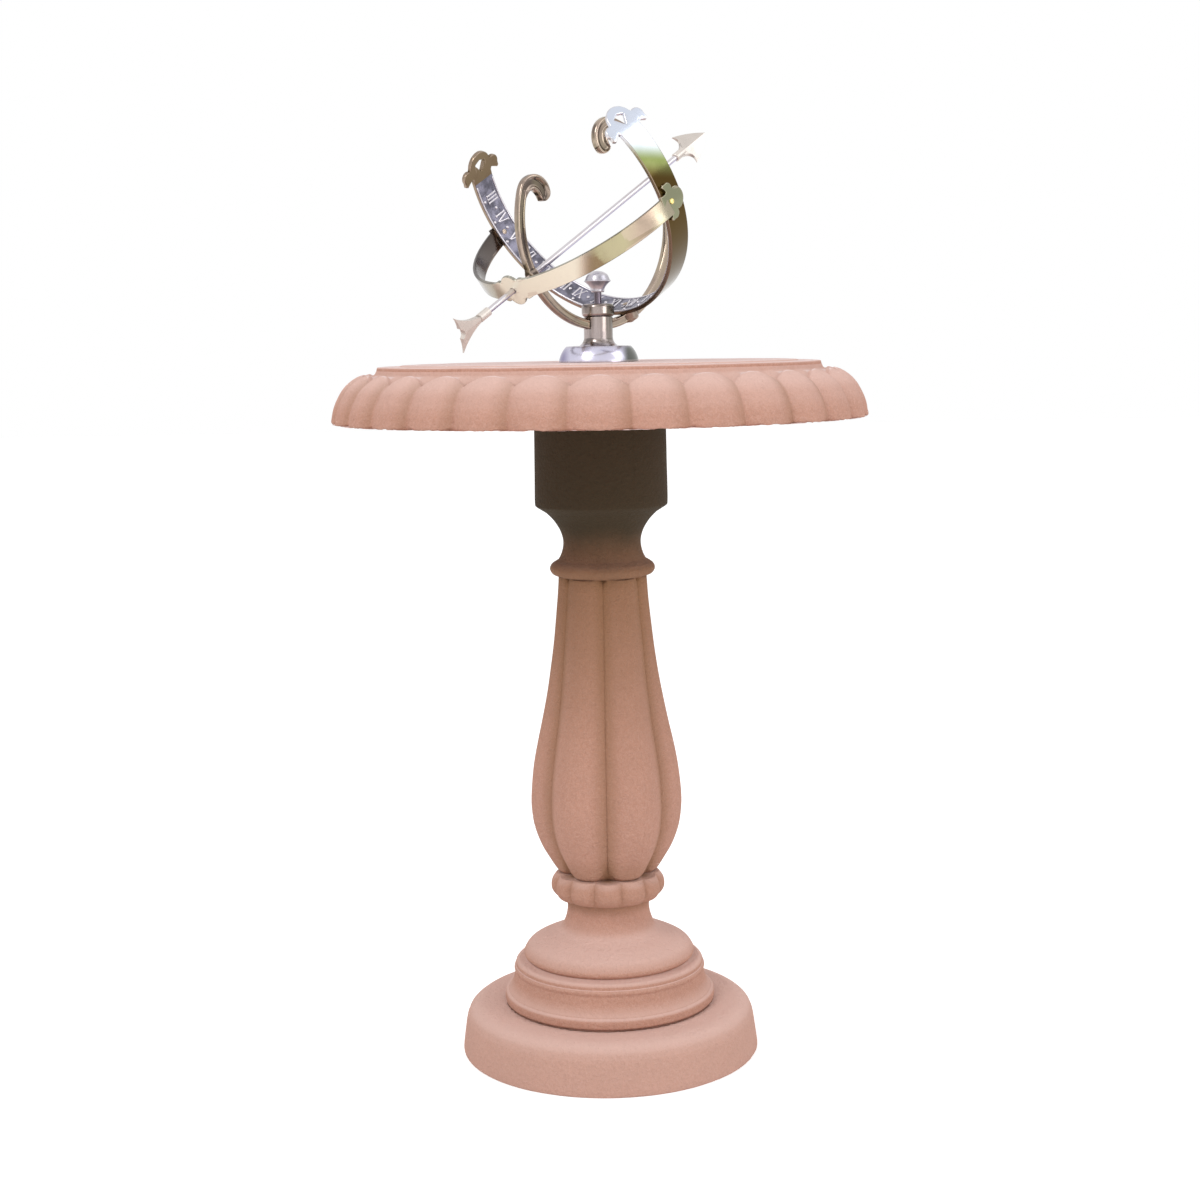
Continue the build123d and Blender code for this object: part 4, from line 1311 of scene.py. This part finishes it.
# ---- dial: brace hoop ----
def hoop_outline():
    """Closed outline of the hoop's strip, X round the hoop, with the shaped eye in its middle."""
    reach = asin((Band.back + Band.width / 2 - 5) / hoop_radius())
    end = (hoop_radius() + Band.hoop_thick / 2) * (pi / 2 - reach)
    half = Band.hoop_width / 2
    eye = [
        (0, 15.8), (3, 15.5), (6, 14.2), (8.4, 12.2), (10, 10.4), (11, 9.7), (12, 10.6),
        (14, 11.3), (16.5, 10.9), (20, 9.8), (24, half), (28, half),
    ]
    curve = smooth_run([(x, y, 0) for x, y in eye], 3)
    right = [point[:2] for point in curve] + [(end, half)]
    upper = [(-x, y) for x, y in reversed(right[1:])] + right
    return upper + [(x, -y) for x, y in reversed(upper)]


def hoop_end_outline():
    """Outline of the trefoil at a hoop's end, X out from the strip."""
    half = Band.hoop_width / 2
    shoulder = [
        (-16, half), (-9, half), (-7.2, half + 1.2), (-8.4, 13.6), (-10.2, 16.2), (-8.6, 17.6),
    ]
    curl = arc_points((-3.6, 12.6), 5.0, 112, -30, 9)
    lobe = arc_points((0.8, 0), 11.4, 66, 0, 9)
    upper = shoulder + curl + [(2.4, 10.8)] + lobe
    return upper + [(x, -y) for x, y in reversed(upper[:-1])]


class SUNDIAL_OT_brace_hoop(bpy.types.Operator):
    """Brace hoop with a shaped eye for the rod and a trefoil at each end"""

    bl_idname = "sundial.brace_hoop"
    bl_label = "Brace hoop"

    def execute(self, context):
        thick = Band.hoop_thick
        mid = hoop_radius() + thick / 2
        eye = arc_points((0, 0), Band.hoop_eye, 0, 345, 23)
        strip = plate_mesh([hoop_outline(), eye], thick, Band.hoop_edge)
        bend(strip, mid, hoop_place())
        parts = [strip]
        outer = Band.radius + thick / 2 + 0.08
        for side in (-1, 1):
            plate = plate_mesh([hoop_end_outline()], thick, Band.hoop_edge)
            for vert in plate.verts:
                vert.co.x, vert.co.y = -side * vert.co.y, -vert.co.x
            if side < 0:
                bmesh.ops.reverse_faces(plate, faces=plate.faces)
            bend(plate, outer, band_place(), side * band_meeting())
            parts.append(plate)
        mesh = join_work(parts, "brace_hoop_plate")
        piece = add_piece("brace_hoop_plate", mesh, "armillary", "bronze", FINISHES["gold"])
        weighted(piece)
        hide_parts("brace_hoop")
        return {"FINISHED"}


# ---- dial: meridian ring ----
class Ring:
    """Sizes of the meridian ring in mm."""

    thick = 9.0
    half_w = 3.5
    half_arc = radians(137)
    scroll_r = 19.5
    scroll_end = radians(185)
    hollow = 0.35
    rod_boss = 6.0
    rod_boss_rise = 0.5
    crossing_boss = 8.5
    crossing_boss_rise = 0.8


def ring_crossing():
    """Place of the band on the ring, in radians from +X."""
    inner = bpy.context.scene.sundial_dial.ring_radius - Ring.thick
    return -pi / 2 - asin(Band.back / inner)


def scroll_stations(outer):
    """Stations of the right-hand scroll, from the end of the round part to its pointed tip."""
    end = Ring.half_arc - pi / 2
    centre = Vector((cos(end), sin(end))) * (outer - Ring.scroll_r)
    throat = [
        (12.9, 1.9), (10.0, 3.9), (6.6, 5.6), (3.2, 6.3), (0.2, 5.3), (-2.1, 2.4), (-3.3, -1.2),
        (-4.0, -4.6), (-4.7, -8.2),
    ]
    inner_run = smooth_run([(x, y, 0) for x, y in throat], 6)
    back = arc_points((0, 0), Ring.scroll_r, degrees(end), degrees(Ring.scroll_end), 11)
    back += [(-18.2, -6.4), (-15.1, -9.8), (-10.1, -10.9), (-6.3, -9.8), (-5.0, -8.6)]
    outer_run = smooth_run([(x, y, 0) for x, y in back], 3)
    count = len(inner_run) - 1
    assert len(outer_run) == count + 1
    stations = []
    for k in range(1, count + 1):
        share = k / count
        out = centre + Vector(outer_run[k][:2])
        inn = centre + Vector(inner_run[k][:2])
        flare = ramp(0.0, 0.45, share)
        dish = flare * (0.4 + 1.7 * ramp(1.0, 0.8, share)) * ramp(1.0, 0.9, share)
        stations.append((inn, out, Ring.half_w + 0.4 * flare, Ring.hollow + dish))
    return stations


def ring_stations():
    """Stations along the whole ring, from the left scroll's tip round to the right one's.

    Each holds the inner point, the outer point, half the width and the hollow of the sides.
    """
    outer = bpy.context.scene.sundial_dial.ring_radius
    inner = outer - Ring.thick
    steps = 420
    angles = [-pi / 2 + Ring.half_arc * (2 * k / steps - 1) for k in range(steps + 1)]
    right = scroll_stations(outer)
    left = [
        (Vector((-inn.x, inn.y)), Vector((-out.x, out.y)), *rest)
        for inn, out, *rest in reversed(right)
    ]
    return left + [ring_station(angle, inner, outer) for angle in angles] + right


def ring_station(angle, inner, outer):
    """Station on the round part of the ring, wider at its bosses."""
    half_w = Ring.half_w
    hollow = Ring.hollow
    for place in (0, -pi, ring_crossing()):
        radius = Ring.rod_boss if place in (0, -pi) else Ring.crossing_boss
        off = abs(angle - place) * (inner + outer) / 2
        if off < radius:
            half_w = max(half_w, sqrt(radius ** 2 - off ** 2))
            hollow = Ring.hollow * ramp(radius - 2, radius, off)
            if radius == Ring.crossing_boss:
                rise = min(1, 1.6 * sqrt(1 - off / radius))
                inner = inner + (Band.seat - inner) * rise
                outer = outer + Ring.crossing_boss_rise * rise
            else:
                outer = outer + Ring.rod_boss_rise
    ray = Vector((cos(angle), sin(angle)))
    return ray * inner, ray * outer, half_w, hollow


# half of the ring's section: share of the way from inside to outside, share of the half width
RING_SECTION = (
    (0.0, 0.0), (0.0, 0.45), (0.015, 0.72), (0.07, 0.93), (0.15, 1.0), (0.22, 1.0), (0.30, 1.0),
    (0.42, 1.0), (0.58, 1.0), (0.70, 1.0), (0.78, 1.0), (0.85, 1.0), (0.93, 0.93),
    (0.985, 0.72), (1.0, 0.45), (1.0, 0.0),
)


def ring_loop(station):
    """Points round the ring's section at a station, in the dial's frame."""
    inn, out, half_w, hollow = station
    loop = []
    for across, width in RING_SECTION:
        spot = inn.lerp(out, across)
        sink = hollow * ramp(0.16, 0.34, across) * ramp(0.84, 0.66, across)
        loop.append((spot.x, spot.y, half_w * width - sink))
    return loop + [(x, y, -z) for x, y, z in reversed(loop[1:-1])]


class SUNDIAL_OT_meridian_ring(bpy.types.Operator):
    """Meridian ring with bosses and dished, inward-curling scrolls"""

    bl_idname = "sundial.meridian_ring"
    bl_label = "Meridian ring"

    def execute(self, context):
        loops = [ring_loop(station) for station in ring_stations()]
        work = bmesh.new()
        rows = [[work.verts.new(point) for point in loop] for loop in loops]
        join_rows(work, rows)
        count = len(rows[0])
        for row in (rows[0], rows[-1]):
            for k in range(len(RING_SECTION) - 1):
                mirror = (count - k) % count
                corners = [row[k], row[k + 1], row[(count - k - 1) % count], row[mirror]]
                kept = [corner for n, corner in enumerate(corners) if corner not in corners[:n]]
                work.faces.new(kept)
        place = dial_place()
        for vert in work.verts:
            vert.co = place @ vert.co
        mesh = join_work([work], "meridian_ring_cast")
        piece = add_piece("meridian_ring_cast", mesh, "armillary", "bronze", FINISHES["bronze"])
        soften(piece.data, 50)
        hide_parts("meridian_ring")
        return {"FINISHED"}


# ---- dial: rivets and set screw ----
def turned_work(outline, place):
    """Closed form turned about a frame's Z from an outline of (radius, height) in mm."""
    count = 36
    work = bmesh.new()
    shape = dial_place() @ place
    rows = []
    for radius, height in outline:
        ring = arc_points((0, 0), radius, 0, 360 * (count - 1) / count, count - 1)
        rows.append([work.verts.new(shape @ Vector((x, y, height))) for x, y in ring])
    join_rows(work, rows)
    work.faces.new(reversed(rows[0]))
    work.faces.new(rows[-1])
    return work


def rivet_head(radius, height, base):
    """Outline of a domed head standing at a height."""
    dome = [(radius * cos(a), base + height * sin(a)) for a in (0.0, 0.3, 0.6, 0.9, 1.2, 1.45)]
    return [(radius, base - 0.4)] + dome


class SUNDIAL_OT_fasteners(bpy.types.Operator):
    """Brass rivets of the hoop, bronze rivet of the crossing and brass screw of the rod"""

    bl_idname = "sundial.fasteners"
    bl_label = "Fasteners"

    def execute(self, context):
        up = Vector((0, 0, 1))
        heads = []
        for side in (-1, 1):
            tip = side * band_meeting()
            out = Vector((sin(tip), -cos(tip), 0))
            spot = out * Band.radius + Vector((0, 0, 4.5))
            outward = band_place() @ axes_place(spot, up, out)
            inward = band_place() @ axes_place(spot, up, -out)
            domed = rivet_head(radius=2.8, height=1.55, base=Band.hoop_thick + 0.1)
            heads.append(turned_work(domed, outward))
            low = rivet_head(radius=2.6, height=0.35, base=Band.thick + 0.05)
            flush = turned_work(low, inward)
            for face in flush.faces:
                face.material_index = 1
            heads.append(flush)
        self.fit("hoop_rivet_heads", heads, "hoop_rivets", "brass_pins", "brass", "bronze")
        angle = ring_crossing()
        out = Vector((cos(angle), sin(angle), 0))
        outer = axes_place(Vector((0, 0, 0)), up, out)
        inner = axes_place(Vector((0, 0, 0)), up, -out)
        ring_out = context.scene.sundial_dial.ring_radius + 0.9
        heads = [turned_work(rivet_head(radius=3.8, height=1.9, base=ring_out), outer)]
        low = rivet_head(radius=2.8, height=1.3, base=Band.thick - Band.seat)
        heads.append(turned_work(low, inner))
        self.fit("crossing_rivet_heads", heads, "crossing_rivet", "bronze", "bronze")
        middle = context.scene.sundial_dial.ring_radius - Ring.thick / 2
        place = axes_place(Vector((middle, 0, 0)), Vector((1, 0, 0)), Vector((0, 0, -1)))
        nub = [
            (1.5, 3.0), (1.5, 5.9), (2.1, 6.2), (2.55, 6.9), (2.6, 8.2), (2.45, 9.6),
            (1.9, 10.6), (1.0, 11.1), (0.2, 11.15),
        ]
        heads = [turned_work(nub, place)]
        self.fit("set_screw_head", heads, "gnomon_set_screw", "brass_pins", "brass")
        return {"FINISHED"}

    def fit(self, name, works, node_name, slot, *finishes):
        """Piece from turned works that stands for a node."""
        mesh = join_work(works, name)
        piece = add_piece(name, mesh, "armillary", slot, *(FINISHES[finish] for finish in finishes))
        soften(piece.data, 50)
        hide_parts(node_name)


# ---- finishes on the frame's own nodes ----
class SUNDIAL_OT_finishes(bpy.types.Operator):
    """Gives every node that still shows its finish"""

    bl_idname = "sundial.finishes"
    bl_label = "Finishes"

    def execute(self, context):
        slots = {"cast_stone": "stone", "brass_pins": "brass"}
        for part in frame["record"]["subparts"]:
            cad = frame["nodes"][part["node"]]
            cad.data.materials.clear()
            slot = part["material_slot"]
            cad.data.materials.append(FINISHES[slots.get(slot, slot)])
        own = {
            "gnomon_rod": "silver", "arrow_head": "arrow", "arrow_tail": "arrow",
            "clamp_knob": "relief", "clamp_screw": "shank", "clamp_cap": "foot",
            "dial_foot": "foot",
        }
        for name, finish in own.items():
            frame["nodes"][name].data.materials[0] = FINISHES[finish]
        return {"FINISHED"}


class SUNDIAL_OT_materials(bpy.types.Operator):
    """Makes the shared effects and every finish"""

    bl_idname = "sundial.materials"
    bl_label = "Materials"

    def execute(self, context):
        make_materials()
        return {"FINISHED"}


# ---- stage ----
def area_light(name, place, target, size, power, colour=(1, 1, 1)):
    """Large soft light aimed at a point."""
    lamp = bpy.data.lights.new(name, "AREA")
    lamp.shape = "RECTANGLE"
    lamp.size, lamp.size_y = size
    lamp.energy = power
    lamp.color = colour
    light = bpy.data.objects.new(name, lamp)
    bpy.context.scene.collection.objects.link(light)
    light.location = place
    aim = Vector(target) - Vector(place)
    light.rotation_euler = aim.to_track_quat("-Z", "Y").to_euler()


def world_sky():
    """Soft grey light, with a white backdrop behind the object."""
    world = bpy.data.worlds.new("studio")
    world.use_nodes = True
    bpy.context.scene.world = world
    tree = world.node_tree
    lit = tree.nodes["Background"]
    lit.inputs["Color"].default_value = (1, 1, 1, 1)
    lit.inputs["Strength"].default_value = bpy.context.scene.sundial_stage.sky
    seen = tree.nodes.new("ShaderNodeBackground")
    seen.inputs["Color"].default_value = (1, 1, 1, 1)
    mix = tree.nodes.new("ShaderNodeMixShader")
    tree.links.new(background_rays(tree), mix.inputs[0])
    tree.links.new(lit.outputs[0], mix.inputs[1])
    tree.links.new(seen.outputs[0], mix.inputs[2])
    tree.links.new(mix.outputs[0], tree.nodes["World Output"].inputs["Surface"])


def background_rays(tree):
    """Share of rays that see the backdrop itself: the camera's, and those off or through things."""
    rays = tree.nodes.new("ShaderNodeLightPath")
    total = rays.outputs["Is Camera Ray"]
    for kind in ("Is Glossy Ray", "Is Transmission Ray"):
        both = node(tree, "ShaderNodeMath", operation="MAXIMUM")
        tree.links.new(total, both.inputs[0])
        tree.links.new(rays.outputs[kind], both.inputs[1])
        total = both.outputs[0]
    return total


def floor_material():
    """Plain pale floor that shows white to the camera and keeps the object's shadow."""
    material, tree, shader = new_material("pale_floor")
    shader.inputs["Base Color"].default_value = (*bpy.context.scene.sundial_stage.floor, 1)
    shader.inputs["Roughness"].default_value = 0.9
    glow = node(tree, "ShaderNodeEmission", Strength=bpy.context.scene.sundial_stage.glow)
    none = node(tree, "ShaderNodeEmission", Strength=0.0)
    pick = tree.nodes.new("ShaderNodeMixShader")
    both = tree.nodes.new("ShaderNodeAddShader")
    tree.links.new(background_rays(tree), pick.inputs[0])
    tree.links.new(none.outputs[0], pick.inputs[1])
    tree.links.new(glow.outputs[0], pick.inputs[2])
    tree.links.new(shader.outputs[0], both.inputs[0])
    tree.links.new(pick.outputs[0], both.inputs[1])
    tree.links.new(both.outputs[0], tree.nodes["Material Output"].inputs["Surface"])
    return material


class SUNDIAL_OT_stage(bpy.types.Operator):
    """Floor, soft lights, backdrop and camera"""

    bl_idname = "sundial.stage"
    bl_label = "Stage"

    def execute(self, context):
        look = context.scene.sundial_stage
        mesh = bpy.data.meshes.new("floor")
        reach = 14
        corners = [(-reach, -reach, 0), (reach, -reach, 0), (reach, reach, 0), (-reach, reach, 0)]
        mesh.from_pydata(corners, [], [(0, 1, 2, 3)])
        mesh.materials.append(floor_material())
        floor = bpy.data.objects.new("floor", mesh)
        context.scene.collection.objects.link(floor)
        world_sky()
        area_light("key", (-1.2, -1.4, 2.2), (0, 0, 0.5), (1.0, 1.0), look.key)
        cool = (0.93, 0.96, 1.0)
        area_light("side", (1.75, -0.6, 1.95), (0, 0, 0.8), (1.2, 1.2), look.side, cool)
        area_light("fill", (2.0, -1.7, 1.0), (0, 0, 0.45), (1.2, 1.2), look.fill)
        camera = bpy.data.objects.new("camera", bpy.data.cameras.new("camera"))
        context.scene.collection.objects.link(camera)
        camera.matrix_world = camera_place()
        camera.data.lens = View.lens
        camera.data.sensor_width = View.sensor
        camera.data.shift_x = View.shift
        context.scene.camera = camera
        context.scene.view_settings.view_transform = "Standard"
        return {"FINISHED"}


class View:
    """The camera's lens in mm, its place in metres and its angles in degrees."""

    lens = 58.26
    sensor = 36
    shift = -0.0025
    place = (0, -1.9, 0.708)
    down = 7.6
    lean = -1.0


def camera_place():
    """The camera stands in front at table height, looks slightly down and leans a degree."""
    lean = Matrix.Rotation(radians(View.lean), 4, "Z")
    look = Matrix.Rotation(radians(90 - View.down), 4, "X")
    return Matrix.Translation(View.place) @ look @ lean


class SUNDIAL_PT_panel(bpy.types.Panel):
    """Buttons for each step, in the 3D view's sidebar"""

    bl_idname = "SUNDIAL_PT_panel"
    bl_label = "Sundial"
    bl_space_type = "VIEW_3D"
    bl_region_type = "UI"
    bl_category = "Sundial"

    def draw(self, context):
        for step in STEPS:
            self.layout.operator(step.bl_idname)
        for group in GROUPS:
            for key in getattr(context.scene, group).__annotations__:
                self.layout.prop(getattr(context.scene, group), key)


STEPS = (
    SUNDIAL_OT_materials,
    SUNDIAL_OT_finishes,
    SUNDIAL_OT_pedestal,
    SUNDIAL_OT_meridian_ring,
    SUNDIAL_OT_hour_band,
    SUNDIAL_OT_brace_hoop,
    SUNDIAL_OT_fasteners,
    SUNDIAL_OT_stage,
)
GROUPS = {
    "sundial_stone": StoneSizes,
    "sundial_dial": DialSizes,
    "sundial_finish": Finishes,
    "sundial_stage": StageLook,
}


def register():
    for group, kind in GROUPS.items():
        bpy.utils.register_class(kind)
        setattr(bpy.types.Scene, group, bpy.props.PointerProperty(type=kind))
    for kind in (*STEPS, SUNDIAL_PT_panel):
        bpy.utils.register_class(kind)


def unregister():
    for kind in (SUNDIAL_PT_panel, *reversed(STEPS)):
        bpy.utils.unregister_class(kind)
    for group, kind in GROUPS.items():
        delattr(bpy.types.Scene, group)
        bpy.utils.unregister_class(kind)


def main():
    """Runs every step in order."""
    register()
    bpy.ops.sundial.materials()
    bpy.ops.sundial.finishes()
    bpy.ops.sundial.pedestal()
    bpy.ops.sundial.meridian_ring()
    bpy.ops.sundial.hour_band()
    bpy.ops.sundial.brace_hoop()
    bpy.ops.sundial.fasteners()
    bpy.ops.sundial.stage()


if __name__ == "__main__":
    main()
